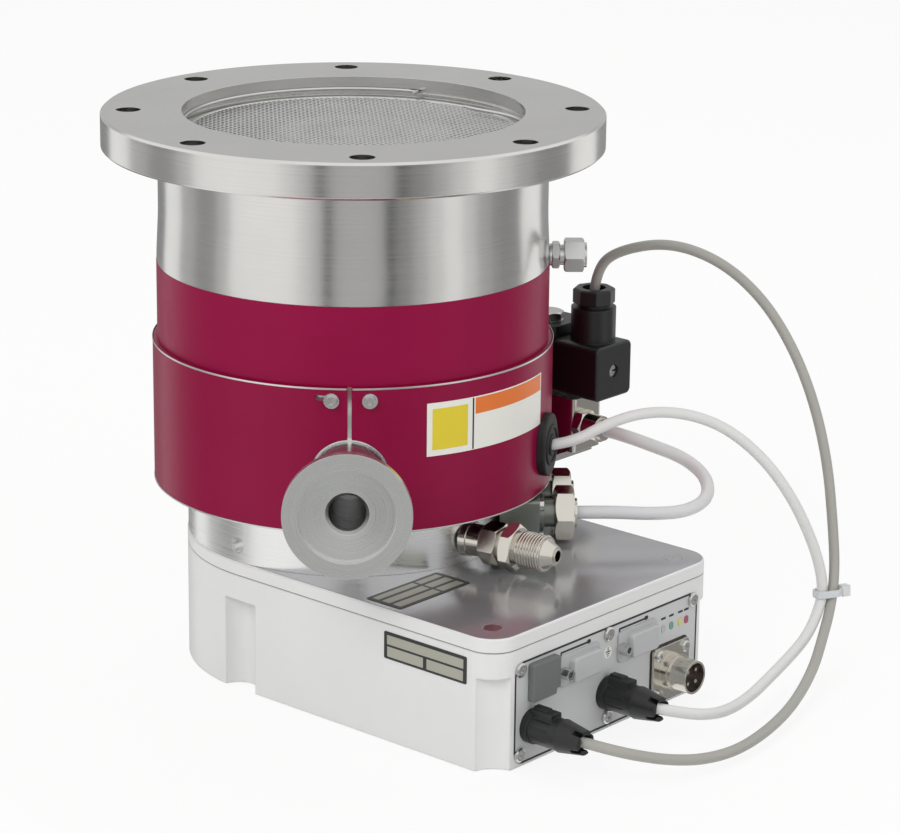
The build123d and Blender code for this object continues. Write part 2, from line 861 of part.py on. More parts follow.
with BuildPart() as valve_body:
    with BuildSketch(Plane.XY.offset(valve_bottom)):
        with Locations((38, valve_y)):
            RectangleRounded(34, 21, 2.5)
    extrude(amount=valve_top - valve_bottom - 2)
    with BuildSketch(Plane.XY.offset(valve_top - 2)):
        with Locations((valve_x, valve_y)):
            Circle(9.5)
    extrude(amount=2)
    with BuildSketch(Plane.XY.offset(valve_top)):
        with Locations((valve_x, valve_y)):
            Circle(7)
    extrude(amount=coil_top - valve_top)
    with BuildSketch(Plane.XY.offset(valve_bottom + 14)):
        with Locations((valve_x, valve_y)):
            Circle(5.3)
    extrude(amount=coil_top - valve_bottom - 18, mode=Mode.SUBTRACT)
with BuildPart() as coil_nut:
    add(chamfered_hex(Plane((valve_x, valve_y, coil_top)), 13.0, 4))
with BuildPart() as solenoid_coil:
    with BuildSketch(Plane.XY.offset(valve_top)):
        with Locations((valve_x - 1.75, valve_y + 1.5)):
            RectangleRounded(28.5, 26, 4)
    extrude(amount=coil_top - valve_top)
    for level in (117, 122, 127, 132, 137):
        with BuildSketch(Plane.XY.offset(level)):
            with Locations((valve_x - 1.75, valve_y + 1.5)):
                RectangleRounded(34, 30, 4)
                RectangleRounded(26.5, 24, 3, mode=Mode.SUBTRACT)
            with Locations((valve_x + 12, valve_y)):
                Rectangle(8, 40, mode=Mode.SUBTRACT)
        extrude(amount=1.8, mode=Mode.SUBTRACT)
    with BuildSketch(Plane.XY.offset(valve_top)):
        with Locations((valve_x, valve_y)):
            Circle(7)
    extrude(amount=coil_top - valve_top, mode=Mode.SUBTRACT)
with BuildPart() as valve_plunger:
    with BuildSketch(Plane.XY.offset(valve_bottom + 14.5)):
        with Locations((valve_x, valve_y)):
            Circle(5.0)
    extrude(amount=20)
with BuildPart() as plunger_seat:
    with BuildSketch(Plane.XY.offset(coil_top - 10)):
        with Locations((valve_x, valve_y)):
            Circle(5.3)
    extrude(amount=6)

valve_port = (55.0, 97.5, 97.5)
with BuildPart() as valve_fitting:
    add(chamfered_hex(forward(*valve_port), 13.0, 5))
    with BuildSketch(forward(valve_port[0] + 5, valve_port[1], valve_port[2])):
        Circle(6.2)
    extrude(amount=8)
    with BuildSketch(forward(valve_port[0] + 13, valve_port[1], valve_port[2])):
        Circle(5.2)
    extrude(amount=2)
    with BuildSketch(forward(valve_port[0] + 15, valve_port[1], valve_port[2])):
        Circle(water_tube_radius)
    extrude(amount=-3, mode=Mode.SUBTRACT)

# connector on the coil, with its cable gland on top
connector_place = (57.0, 103.0)
connector_low, connector_high = 112.0, 138.0
gland_top = 163.0
with BuildPart() as connector_gasket:
    with BuildSketch(forward(42.5)):
        with Locations((103, 125)):
            RectangleRounded(22, 22, 2)
    extrude(amount=1.5)
with BuildPart() as valve_connector:
    with BuildSketch(forward(44)):
        with Locations((103, 125)):
            RectangleRounded(26, 26, 3)
    extrude(amount=26)
    fillet(valve_connector.faces().sort_by(Axis.X)[-1].edges(), 1.2)
    with BuildSketch(Plane.XY.offset(connector_high - 6)):
        with Locations(connector_place):
            Circle(10.5)
    extrude(amount=22)
    with BuildSketch(Plane.XY.offset(connector_high + 16)):
        with Locations(connector_place):
            Circle(7.8)
    extrude(amount=2)
    with BuildSketch(forward(70)):
        with Locations((103, 125)):
            Circle(3.2)
    extrude(amount=-3, mode=Mode.SUBTRACT)
with BuildPart() as gland_nut:
    with BuildSketch(Plane.XY.offset(connector_high + 18)):
        with Locations(connector_place):
            RegularPolygon(9.9, 8)
    extrude(amount=gland_top - connector_high - 18)
    chamfer(gland_nut.faces().sort_by(Axis.Z)[-1].edges(), 0.8)
    with BuildSketch(Plane.XY.offset(gland_top)):
        with Locations(connector_place):
            Circle(5.5)
    extrude(amount=-3, mode=Mode.SUBTRACT)
with BuildPart() as connector_screw:
    with BuildSketch(forward(67)):
        with Locations((103, 125)):
            Circle(2.9)
    extrude(amount=2.0)
    with BuildSketch(forward(69)):
        with Locations((103, 125)):
            Rectangle(8, 0.9)
    extrude(amount=-1.0, mode=Mode.SUBTRACT)

# ---------------------------------------------------------------- cords
def cord_tube(name, points, radius):
    """A round cord along straight runs joined by arcs as large as the runs allow."""
    route = [Vector(*point) for point in points]
    radii = []
    for before, corner, after in zip(route, route[1:], route[2:]):
        turn = (corner - before).get_angle(after - corner)
        shorter = min((corner - before).length, (after - corner).length)
        radii.append(0.45 * shorter / tan(radians(turn) / 2))
    with BuildPart() as cord:
        with BuildLine():
            path = FilletPolyline(*route, radius=radii)
        with BuildSketch(Plane(origin=route[0], z_dir=route[1] - route[0])):
            Circle(radius)
        sweep(path=path)
    length = path.length
    section = 3.14159265 * radius**2
    print(name, "length", round(length, 1), "radii", [round(r) for r in radii])
    print(name, "volume over section times length", round(cord.part.volume / (section * length), 4))
    return cord.part


grey_route = [
    (57, 103, gland_top - 3),
    (58, 103.5, 173),
    (68, 108, 182),
    (88, 119, 187),
    (109, 130, 180),
    (127, 139, 164),
    (142, 144, 142),
    (154, 146, 117),
    (163, 145.5, 90),
    (170, 141.5, 64),
    (175.5, 137, 44),
    (178.6, 130.5, 28.5),
    (184, 117, 18),
    (194, 96, 11),
    (205, 66, 6),
    (213, 36, 5),
    (216, 10, 4.5),
    (213, -10, 5.5),
    (208, -27, 9),
    (202, -41, 13.5),
    (193, -49.8, 16.5),
    (180.2, -52, 17),
]
white_route = [
    (85.7, 39.1, 107),
    (94.5, 44, 109),
    (104, 55, 117),
    (115, 69, 122),
    (128, 83, 121),
    (141, 96, 114),
    (154, 107, 100),
    (164, 116, 82),
    (170, 124, 62),
    (173.4, 128.4, 46),
    (175.0, 129.0, 34),
    (176.5, 121.4, 24),
    (180, 109, 19),
    (183.5, 93, 16),
    (187, 74, 13),
    (191, 54, 10.5),
    (195, 34, 11),
    (196, 18, 13),
    (191.5, 5, 16),
    (180.2, -0.6, 17),
]
tube_start = manifold_plane(hose_nut_start + hose_nut_length - 3, hose_places["front"]).origin
water_route = [
    tuple(tube_start),
    (103, 60, 74),
    (117, 73, 73),
    (127, 87, 73),
    (128, 102, 76),
    (119, 112, 82),
    (105, 113, 88),
    (92, 105, 93),
    (80, 98.5, 97),
    (67, 97.5, 97.5),
]
grey_cable = cord_tube("grey_cable", grey_route, grey_cable_radius)
white_cable = cord_tube("white_cable", white_route, white_cable_radius)
water_tube = cord_tube("water_tube", water_route, water_tube_radius)

# cable tie that holds the two cables together
tie_centre = (176.2, 130.7, 34.5)
tie_plane = Plane(origin=tie_centre, x_dir=(0.42, 0.91, 0.0), z_dir=(0.1, -0.05, -1))
with BuildPart() as cable_tie:
    with BuildSketch(tie_plane.offset(-1.6)):
        SlotOverall(14.2, 9.2)
        SlotOverall(12.0, 7.0, mode=Mode.SUBTRACT)
    extrude(amount=3.2)
    with BuildSketch(tie_plane.offset(-2.4)):
        with Locations((8.8, 0)):
            RectangleRounded(4.6, 5.2, 1.0)
    extrude(amount=4.8)

# ---------------------------------------------------------------- files
pieces = {
    "pump_casing": casing.part,
    "lower_housing": lower_housing.part,
    "exhaust_port": exhaust_part,
    "colour_band": colour_band.part,
    "heating_jacket": heating_jacket.part,
    "jacket_screws": jacket_screws.part,
    "cable_grommet": cable_grommet.part,
    "vent_fitting": vent_fitting.part,
    "vent_nut": vent_nut.part,
    "inlet_screen": inlet_screen.part,
    "retaining_ring": retaining_ring.part,
    "turbine_rotor": turbine_rotor.part,
    "rotor_shaft": rotor_shaft.part,
    "rotor_nut": rotor_nut.part,
    "rotor_sleeves": rotor_sleeves.part,
    "holweck_stator": holweck_stator.part,
    "stator_column": stator_column.part,
    "motor_stator": motor_stator.part,
    "radial_bearings": radial_bearings.part,
    "touchdown_bearings": touchdown_bearings.part,
    "axial_bearing": axial_bearing.part,
    "base_housing": base_housing.part,
    "top_plate": top_plate.part,
    "plate_screws": plate_screw_pair.part,
    "control_board": control_board.part,
    "board_standoffs": board_standoffs.part,
    "drive_module": drive_module.part,
    "connector_panel": connector_panel.part,
    "panel_screws": panel_screws.part,
    "blank_cover": blank_cover.part,
    "cover_screws": cover_screws.part,
    "power_inlet": power_inlet.part,
    "power_insulator": power_insulator.part,
    "power_pins": power_pins.part,
    "power_screws": power_screws.part,
    "water_fitting": water_part,
    "water_manifold": water_manifold.part,
    "manifold_screws": manifold_screws.part,
    "valve_bracket": valve_bracket.part,
    "bracket_screws": bracket_screws.part,
    "valve_body": valve_body.part,
    "coil_nut": coil_nut.part,
    "solenoid_coil": solenoid_coil.part,
    "valve_plunger": valve_plunger.part,
    "valve_fitting": valve_fitting.part,
    "connector_gasket": connector_gasket.part,
    "valve_connector": valve_connector.part,
    "gland_nut": gland_nut.part,
    "connector_screw": connector_screw.part,
    "grey_cable": grey_cable,
    "white_cable": white_cable,
    "water_tube": water_tube,
    "cable_tie": cable_tie.part,
}
pieces["stator_discs"] = Compound(stator_discs)
pieces["spacer_rings"] = Compound([ring for spacer in spacer_rings for ring in spacer.solids()])
pieces["port_covers"] = Compound(covers)
pieces.update(plugs)
for name, nut in hose_nuts.items():
    pieces[name + "_hose_nut"] = nut
for name, piece in pieces.items():
    piece.label = name
    export_step(piece, f"parts/{name}.step")
print(len(pieces), "files")
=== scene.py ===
# Magnetically levitated turbomolecular pump, dressed in its real finishes.
# Units are metres, Z is the rotor axis, and the connector panel faces +X.
import math

import bmesh
import bpy
from mathutils import Matrix, Vector


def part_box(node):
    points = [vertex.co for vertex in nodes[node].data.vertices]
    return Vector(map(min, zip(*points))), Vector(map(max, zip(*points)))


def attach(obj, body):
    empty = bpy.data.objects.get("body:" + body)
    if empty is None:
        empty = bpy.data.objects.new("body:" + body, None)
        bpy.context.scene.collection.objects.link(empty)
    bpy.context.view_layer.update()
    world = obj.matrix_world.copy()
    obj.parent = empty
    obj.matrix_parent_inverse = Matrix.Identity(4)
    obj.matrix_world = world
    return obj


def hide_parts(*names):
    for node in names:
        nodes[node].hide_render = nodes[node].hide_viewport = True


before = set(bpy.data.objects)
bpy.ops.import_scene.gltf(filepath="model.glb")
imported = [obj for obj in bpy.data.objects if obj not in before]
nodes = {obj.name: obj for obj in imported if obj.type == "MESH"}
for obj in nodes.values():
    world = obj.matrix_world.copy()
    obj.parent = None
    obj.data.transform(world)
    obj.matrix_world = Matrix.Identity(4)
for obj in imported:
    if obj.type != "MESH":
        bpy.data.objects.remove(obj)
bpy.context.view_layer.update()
MM = 0.001

# ------------------------------------------------------------------ camera and studio
# A long lens looks down at the pump from between the exhaust port and the panel.
# It stands in a white studio whose tall panels give the turned metal its bands.
camera_data = bpy.data.cameras.new("camera")
camera_data.sensor_width = 36.0
camera_data.lens = 131.6
camera = bpy.data.objects.new("camera", camera_data)
bpy.context.scene.collection.objects.link(camera)
sight = Vector((-0.63024, 0.72049, -0.28929)).normalized()
right = Vector((0.74962, 0.66179, 0.01056))
right = (right - sight * right.dot(sight)).normalized()
up = right.cross(sight)
turn = Matrix((right, up, -sight)).transposed().to_4x4()
camera.matrix_world = Matrix.Translation((0.98231, -1.05554, 0.54706)) @ turn
bpy.context.scene.camera = camera
bpy.context.scene.view_settings.view_transform = "Standard"


def linear(hex_colour):
    """An sRGB hex colour as linear RGBA."""
    channels = [int(hex_colour[i : i + 2], 16) / 255 for i in (1, 3, 5)]
    return [c / 12.92 if c <= 0.04045 else ((c + 0.055) / 1.055) ** 2.4 for c in channels] + [1.0]


def node(tree, kind, links=None, **settings):
    """Adds a node; links gives each input a value, or an output to join to it."""
    made = tree.nodes.new(kind)
    for name, value in settings.items():
        setattr(made, name, value)
    for name, value in (links or {}).items():
        if isinstance(value, bpy.types.NodeSocket):
            tree.links.new(value, made.inputs[name])
        else:
            made.inputs[name].default_value = value
    return made


def blank_material(name):
    """A new material with nothing in it but its output."""
    material = bpy.data.materials.new(name)
    material.use_nodes = True
    material.node_tree.nodes.clear()
    output = node(material.node_tree, "ShaderNodeOutputMaterial")
    return material, material.node_tree, output.inputs["Surface"]


def add_mesh(name, points, faces, material=None, smooth=False):
    """A mesh object whose place is in its points."""
    mesh = bpy.data.meshes.new(name)
    mesh.from_pydata([tuple(p) for p in points], [], faces)
    mesh.polygons.foreach_set("use_smooth", [smooth] * len(mesh.polygons))
    made = bpy.data.objects.new(name, mesh)
    bpy.context.scene.collection.objects.link(made)
    if material:
        mesh.materials.append(material)
    return made


# painted studio floor, lit so evenly that it reads as white paper
floor_half = 6.0
floor_drop = 0.6 * MM
floor_paint, tree, surface = blank_material("studio_floor_paint")
rays = node(tree, "ShaderNodeLightPath")
matt = node(tree, "ShaderNodeBsdfDiffuse", {"Color": linear("#F4F4F3")})
glow = node(tree, "ShaderNodeEmission", {"Color": (1, 1, 1, 1), "Strength": 1.0})
share = node(
    tree,
    "ShaderNodeMath",
    {0: rays.outputs["Is Camera Ray"], 1: 0.86},
    operation="MULTIPLY",
)
mixed = node(
    tree,
    "ShaderNodeMixShader",
    {0: share.outputs[0], 1: matt.outputs[0], 2: glow.outputs[0]},
)
tree.links.new(mixed.outputs[0], surface)
floor = add_mesh(
    "studio_floor",
    [(x * floor_half, y * floor_half, -floor_drop) for x, y in ((-1, -1), (1, -1), (1, 1), (-1, 1))],
    [(0, 1, 2, 3)],
    floor_paint,
)
floor.visible_glossy = False

world = bpy.data.worlds.new("studio")
world.use_nodes = True
bpy.context.scene.world = world
tree = world.node_tree
tree.nodes.clear()
rays = node(tree, "ShaderNodeLightPath")
seen = node(
    tree,
    "ShaderNodeMath",
    {0: rays.outputs["Is Camera Ray"], 1: rays.outputs["Is Glossy Ray"]},
    operation="MAXIMUM",
)
clear = node(
    tree,
    "ShaderNodeMath",
    {0: seen.outputs[0], 1: rays.outputs["Is Transmission Ray"]},
    operation="MAXIMUM",
)
room = node(tree, "ShaderNodeBackground", {"Color": linear("#F7F7F6"), "Strength": 0.64})
paper = node(tree, "ShaderNodeBackground", {"Color": (1, 1, 1, 1), "Strength": 1.0})
sky = node(
    tree,
    "ShaderNodeMixShader",
    {0: clear.outputs[0], 1: room.outputs[0], 2: paper.outputs[0]},
)
node(tree, "ShaderNodeOutputWorld", {"Surface": sky.outputs[0]})

# panels seen only in reflections: (from, to) degrees round the pump, low, high, grey
panel_distance = 2.6
studio_panels = [
    (-230, -189, -2.5, 0.12, 0.27),
    (-166, -150, -2.5, 0.12, 0.50),
    (-150, -132, -2.5, 0.12, 0.34),
    (-132, -122, -2.5, 0.12, 0.58),
    (-79, -72, -2.5, 0.12, 0.80),
    (-72, -64, -2.5, 0.12, 0.62),
    (-64, -59, -2.5, 0.12, 0.02),
    (-59, -29, -2.5, 0.12, 0.52),
    (-29, -24, -2.5, 0.12, 0.02),
    (-24, -13, -2.5, 0.12, 0.30),
    (-13, -4, -2.5, 0.12, 0.50),
    (-4, 6, -2.5, 0.12, 0.75),
    (18, 28, -2.5, 0.12, 0.72),
    (28, 40, -2.5, 0.12, 0.46),
    (40, 66, -2.5, 0.12, 0.30),
    (94, 130, -2.5, 0.12, 0.32),
    (90, 178, 0.15, 2.1, 0.56),
]
for index, (start, end, low, high, grey) in enumerate(studio_panels):
    cloth, tree, surface = blank_material(f"studio_panel_cloth_{index}")
    glow = node(tree, "ShaderNodeEmission", {"Color": (grey, grey, grey, 1), "Strength": 1.0})
    tree.links.new(glow.outputs[0], surface)
    steps = max(2, int((end - start) / 4))
    rim = [math.radians(start + (end - start) * i / steps) for i in range(steps + 1)]
    foot = [(panel_distance * math.cos(a), panel_distance * math.sin(a)) for a in rim]
    points = [(x, y, z) for z in (low, high) for x, y in foot]
    faces = [(i, i + 1, steps + 2 + i, steps + 1 + i) for i in range(steps)]
    panel = add_mesh(f"studio_panel_{index}", points, faces, cloth)
    panel.visible_camera = False
    panel.visible_diffuse = False
    panel.visible_shadow = False
    panel.visible_transmission = False

lit_point = Vector((0.03, 0.0, 0.13))
for name, place, size, power in (
    ("key_softbox", (0.3, -1.7, 1.5), 1.3, 17.0),
    ("fill_softbox", (1.9, 0.2, 1.1), 1.2, 6.5),
    ("top_softbox", (-0.6, 0.7, 1.9), 1.2, 8.0),
):
    lamp_data = bpy.data.lights.new(name, "AREA")
    lamp_data.size = size
    lamp_data.energy = power
    lamp = bpy.data.objects.new(name, lamp_data)
    bpy.context.scene.collection.objects.link(lamp)
    aim = (lit_point - Vector(place)).to_track_quat("-Z", "Y").to_matrix().to_4x4()
    lamp.matrix_world = Matrix.Translation(place) @ aim
    lamp.visible_camera = False
    lamp.visible_glossy = False

# ------------------------------------------------------------------ cables and water tube
# Extruded PVC cable jackets and a nylon water tube, pushed on and gripped by their nuts.
# One nylon tie holds the two cables together.


def coated(
    name,
    colour,
    shade,
    roughness,
    grain,
    relief,
    metallic=0.0,
    edge=0.35,
    patch=25.0,
    **fixed,
):
    """A sprayed, plated or moulded skin: colour drifts over patches of a few
    centimetres, the gloss over the grain, and edges catch light over a small radius.
    grain, edge and patch are in millimetres, relief in hundredths of a millimetre."""
    material, tree, surface = blank_material(name)
    where = node(tree, "ShaderNodeTexCoord").outputs["Object"]
    wide = node(tree, "ShaderNodeTexNoise", {"Vector": where, "Scale": 1000 / patch, "Detail": 3.0})
    tint = node(
        tree,
        "ShaderNodeMix",
        {"Factor": wide.outputs[0], 6: linear(colour), 7: linear(shade)},
        data_type="RGBA",
    )
    fine = node(tree, "ShaderNodeTexNoise", {"Vector": where, "Scale": 1000 / grain, "Detail": 2.0})
    gloss = node(
        tree,
        "ShaderNodeMapRange",
        {"Value": fine.outputs[0], "To Min": roughness * 0.85, "To Max": roughness * 1.15},
    )
    rounded = node(tree, "ShaderNodeBevel", {"Radius": edge * MM}, samples=4)
    bump = node(
        tree,
        "ShaderNodeBump",
        {
            "Height": fine.outputs[0],
            "Distance": relief * 1e-5,
            "Strength": 0.6,
            "Normal": rounded.outputs[0],
        },
    )
    skin = node(
        tree,
        "ShaderNodeBsdfPrincipled",
        {
            "Base Color": tint.outputs[2],
            "Roughness": gloss.outputs[0],
            "Metallic": metallic,
            "Normal": bump.outputs[0],
            **fixed,
        },
    )
    tree.links.new(skin.outputs[0], surface)
    return material


# extruded PVC, satin, with a faint pull along its length
grey_pvc = coated("extruded_grey_pvc", "#A9A8A1", "#9E9D97", 0.42, 1.5, 3, patch=40, IOR=1.53)
white_pvc = coated("extruded_white_pvc", "#DEDEDD", "#D6D6D5", 0.40, 1.5, 3, patch=40, IOR=1.53)
# nylon lets a little light into it, which softens its shading
milky_nylon = coated(
    "extruded_white_nylon",
    "#D8D8DA",
    "#D0D0D3",
    0.34,
    2.0,
    2,
    patch=40,
    IOR=1.53,
    **{"Subsurface Weight": 0.15},
)


def cord_curve(name, route, radius, material):
    """A smooth round cord whose line follows the route's points, in millimetres."""
    curve = bpy.data.curves.new(name, "CURVE")
    curve.dimensions = "3D"
    curve.bevel_depth = radius
    curve.bevel_resolution = 6
    curve.resolution_u = 14
    curve.use_fill_caps = True
    spline = curve.splines.new("NURBS")
    spline.points.add(len(route) - 1)
    for point, (x, y, z) in zip(spline.points, route):
        point.co = (x * MM, y * MM, z * MM, 1.0)
    spline.order_u = 3
    spline.use_endpoint_u = True
    made = bpy.data.objects.new(name, curve)
    bpy.context.scene.collection.objects.link(made)
    curve.materials.append(material)
    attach(made, "pump")
    return made


grey_route = [
    (57, 103, 160),
    (58, 103.5, 173),
    (68, 108, 182),
    (88, 119, 187),
    (109, 130, 180),
    (127, 139, 164),
    (142, 144, 142),
    (154, 146, 117),
    (163, 145.5, 90),
    (170, 141.5, 64),
    (175.5, 137, 44),
    (178.6, 130.5, 28.5),
    (184, 117, 18),
    (194, 96, 11),
    (205, 66, 6),
    (213, 36, 5),
    (216, 10, 4.5),
    (213, -10, 5.5),
    (208, -27, 9),
    (202, -41, 13.5),
    (193, -49.8, 16.5),
    (180.2, -52, 17),
]
white_route = [
    (85.7, 39.1, 107),
    (94.5, 44, 109),
    (104, 55, 117),
    (115, 69, 122),
    (128, 83, 121),
    (141, 96, 114),
    (154, 107, 100),
    (164, 116, 82),
    (170, 124, 62),
    (173.4, 128.4, 46),
    (175.0, 129.0, 34),
    (176.5, 121.4, 24),
    (180, 109, 19),
    (183.5, 93, 16),
    (187, 74, 13),
    (191, 54, 10.5),
    (195, 34, 11),
    (196, 18, 13),
    (191.5, 5, 16),
    (180.2, -0.6, 17),
]
water_route = [
    (89.0, 47.2, 73.6),
    (103, 60, 74),
    (117, 73, 73),
    (127, 87, 73),
    (128, 102, 76),
    (119, 112, 82),
    (105, 113, 88),
    (92, 105, 93),
    (80, 98.5, 97),
    (67, 97.5, 97.5),
]
grey_cord = cord_curve("grey_cable_cord", grey_route, 2.4 * MM, grey_pvc)
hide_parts("grey_cable")
white_cord = cord_curve("white_cable_cord", white_route, 2.5 * MM, white_pvc)
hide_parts("white_cable")
water_cord = cord_curve("water_tube_cord", water_route, 3.0 * MM, milky_nylon)
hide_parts("water_tube")


def dress(names, material):
    """Gives CAD nodes a finish."""
    for name in names:
        slots = nodes[name].data.materials
        slots.clear()
        slots.append(material)


dress(["cable_tie"], milky_nylon)

# ------------------------------------------------------------------ turned pump body
# The casing, flange and pump foot are turned from stainless steel and aluminium bar.
# Fine rings left by the cutting tool stretch each reflection across themselves.


def turned(name, colour, shade, roughness, groove, relief, spot=(0, 0, 0), line=(0, 0, 1), **fixed):
    """Metal cut on a lathe about a line through spot. groove is the ring spacing in
    millimetres, drawn as coarse as it needs to show, relief in hundredths of one."""
    material, tree, surface = blank_material(name)
    where = node(tree, "ShaderNodeTexCoord").outputs["Object"]
    moved = node(tree, "ShaderNodeVectorMath", {0: where, 1: [-c * MM for c in spot]}, operation="ADD")
    along = node(
        tree,
        "ShaderNodeVectorMath",
        {0: moved.outputs[0], 1: line},
        operation="DOT_PRODUCT",
    )
    aside = node(
        tree,
        "ShaderNodeVectorMath",
        {0: moved.outputs[0], 1: line},
        operation="CROSS_PRODUCT",
    )
    out = node(tree, "ShaderNodeVectorMath", {0: aside.outputs[0]}, operation="LENGTH")
    ringed = node(
        tree,
        "ShaderNodeCombineXYZ",
        {"X": out.outputs["Value"], "Y": along.outputs["Value"]},
    )
    rings = node(
        tree,
        "ShaderNodeTexNoise",
        {"Vector": ringed.outputs[0], "Scale": 1000 / groove, "Detail": 4.0},
    )
    wide = node(tree, "ShaderNodeTexNoise", {"Vector": where, "Scale": 28.0, "Detail": 3.0})
    blend = node(
        tree,
        "ShaderNodeMath",
        {0: rings.outputs[0], 1: wide.outputs[0]},
        operation="MULTIPLY",
    )
    tint = node(
        tree,
        "ShaderNodeMapRange",
        {"Value": blend.outputs[0], "From Min": 0.1, "From Max": 0.45},
    )
    mix = node(
        tree,
        "ShaderNodeMix",
        {"Factor": tint.outputs[0], 6: linear(shade), 7: linear(colour)},
        data_type="RGBA",
    )
    gloss = node(
        tree,
        "ShaderNodeMapRange",
        {
            "Value": rings.outputs[0],
            "From Min": 0.3,
            "From Max": 0.7,
            "To Min": roughness * 0.85,
            "To Max": roughness * 1.2,
        },
    )
    rounded = node(tree, "ShaderNodeBevel", {"Radius": 0.4 * MM}, samples=4)
    bump = node(
        tree,
        "ShaderNodeBump",
        {
            "Height": rings.outputs[0],
            "Distance": relief * 1e-5,
            "Strength": 0.5,
            "Normal": rounded.outputs[0],
        },
    )
    skin = node(
        tree,
        "ShaderNodeBsdfPrincipled",
        {
            "Base Color": mix.outputs[2],
            "Roughness": gloss.outputs[0],
            "Metallic": 1.0,
            "Normal": bump.outputs[0],
            **fixed,
        },
    )
    tree.links.new(skin.outputs[0], surface)
    return material


# rings about 0.15 mm apart, drawn at 0.7 mm; soft silver bands run up the walls
turned_stainless = turned(
    "turned_stainless_steel",
    "#DDDCD9",
    "#D3D2CF",
    0.17,
    0.7,
    0.35,
    Anisotropic=0.45,
)
turned_aluminium = turned("turned_aluminium", "#F0F0EF", "#E6E6E5", 0.24, 0.8, 0.5, Anisotropic=0.4)
# the small flange is turned about the port's own line, at 48 degrees across
port_angle, port_height = math.radians(-48), 110.3
port_line = (math.cos(port_angle), math.sin(port_angle), 0)
port_turning = turned(
    "turned_port_aluminium",
    "#DCDDDB",
    "#D6D7D5",
    0.29,
    0.6,
    0.2,
    (0, 0, port_height),
    port_line,
)
dress(["pump_casing"], turned_stainless)
dress(["lower_housing"], turned_aluminium)
dress(["exhaust_port"], port_turning)

# ------------------------------------------------------------------ crimson band and jacket
# A printed film band above, and below it the sheet-metal heating jacket, sprayed the
# same crimson and clamped at its slit with two screws.
crimson_film = coated(
    "printed_crimson_film",
    "#900940",
    "#89083C",
    0.36,
    6.0,
    1.0,
    edge=0.3,
    IOR=1.5,
    **{"Specular IOR Level": 0.13},
)
crimson_paint = coated(
    "sprayed_crimson_paint",
    "#8D073D",
    "#850639",
    0.30,
    4.0,
    1.5,
    edge=0.8,
    IOR=1.5,
    **{"Specular IOR Level": 0.16},
)
dress(["colour_band"], crimson_film)
dress(["heating_jacket"], crimson_paint)


def ring_points(radius, height, start, end, steps):
    """Points on an arc round the pump, angles in degrees, sizes in millimetres."""
    angles = [math.radians(start + (end - start) * i / steps) for i in range(steps + 1)]
    return [(radius * MM * math.cos(a), radius * MM * math.sin(a), height * MM) for a in angles]


def curved_strip(name, radius, thickness, start, end, low, high, material):
    """A thin plate bent round the pump body."""
    steps = max(4, int(abs(end - start) / 1.5))
    rows = [
        ring_points(radius, low, start, end, steps),
        ring_points(radius + thickness, low, start, end, steps),
        ring_points(radius + thickness, high, start, end, steps),
        ring_points(radius, high, start, end, steps),
    ]
    n = steps + 1
    points = [p for row in rows for p in row]
    faces = []
    for r in range(4):
        nxt = (r + 1) % 4
        faces += [(r * n + i, r * n + i + 1, nxt * n + i + 1, nxt * n + i) for i in range(steps)]
    faces += [(0, n, 2 * n, 3 * n), (3 * n + steps, 2 * n + steps, n + steps, steps)]
    strip = add_mesh(name, points, faces, material)
    clean = bmesh.new()
    clean.from_mesh(strip.data)
    bmesh.ops.recalc_face_normals(clean, faces=clean.faces)
    clean.to_mesh(strip.data)
    clean.free()
    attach(strip, "pump")
    return strip


# bright bare rims of the rolled steel jacket, above and below the paint
rolled_steel = coated("rolled_bare_steel", "#E4E2DE", "#D2D0CC", 0.30, 0.8, 1.0, metallic=1.0)
curved_strip(
    "jacket_upper_rim",
    90.75,
    0.25,
    -47.2,
    311.2,
    150.1,
    150.9,
    rolled_steel,
)
curved_strip("jacket_lower_rim", 90.75, 0.2, -47.2, 311.2, 85.1, 85.7, rolled_steel)

# blank label fields on the jacket: a white one, with a plain orange strip over its right part
label_white = coated("printed_white_vinyl", "#EDECE6", "#E4E3DC", 0.38, 2.0, 1.0, edge=0.1, IOR=1.5)
label_orange = coated(
    "printed_orange_vinyl",
    "#E8792B",
    "#DF7026",
    0.38,
    2.0,
    1.0,
    edge=0.1,
    IOR=1.5,
)
label_yellow = coated(
    "printed_yellow_vinyl",
    "#E5CF2C",
    "#DCC626",
    0.38,
    2.0,
    1.0,
    edge=0.1,
    IOR=1.5,
)
# black ink for printed lines, also drawn as painted shade in the screw sockets and along the
# port-cover grooves
black_ink_and_shade = coated("black_ink_and_painted_shade", "#26262A", "#1F1F22", 0.42, 2.0, 1.0, edge=0.05, IOR=1.5)
curved_strip("jacket_label_ground", 90.8, 0.12, -26.5, 20, 118.5, 142.5, label_white)
curved_strip("jacket_label_strip", 90.92, 0.04, -11.2, 19.4, 134.6, 141.9, label_orange)
curved_strip(
    "jacket_label_divider",
    90.92,
    0.05,
    -12.2,
    -11.7,
    118.9,
    142.1,
    black_ink_and_shade,
)
curved_strip(
    "jacket_label_square",
    90.92,
    0.04,
    -24.9,
    -13.8,
    121.2,
    139.8,
    label_yellow,
)

# ------------------------------------------------------------------ electronics housing
# A cast aluminium tub with a sprayed light-grey skin, closed by a ground and clear
# anodised plate that mirrors the fittings, and a screwed front panel.
housing_paint = coated(
    "sprayed_light_grey_paint",
    "#E6E6E6",
    "#E0E0E0",
    0.38,
    1.6,
    3.0,
    edge=0.9,
    IOR=1.5,
)
# ground along its length, so the reflections are sharp but slightly smeared
ground_plate = coated(
    "ground_anodised_aluminium",
    "#BFC0C2",
    "#B5B6B9",
    0.15,
    3.0,
    1.0,
    metallic=0.62,
    edge=0.9,
)
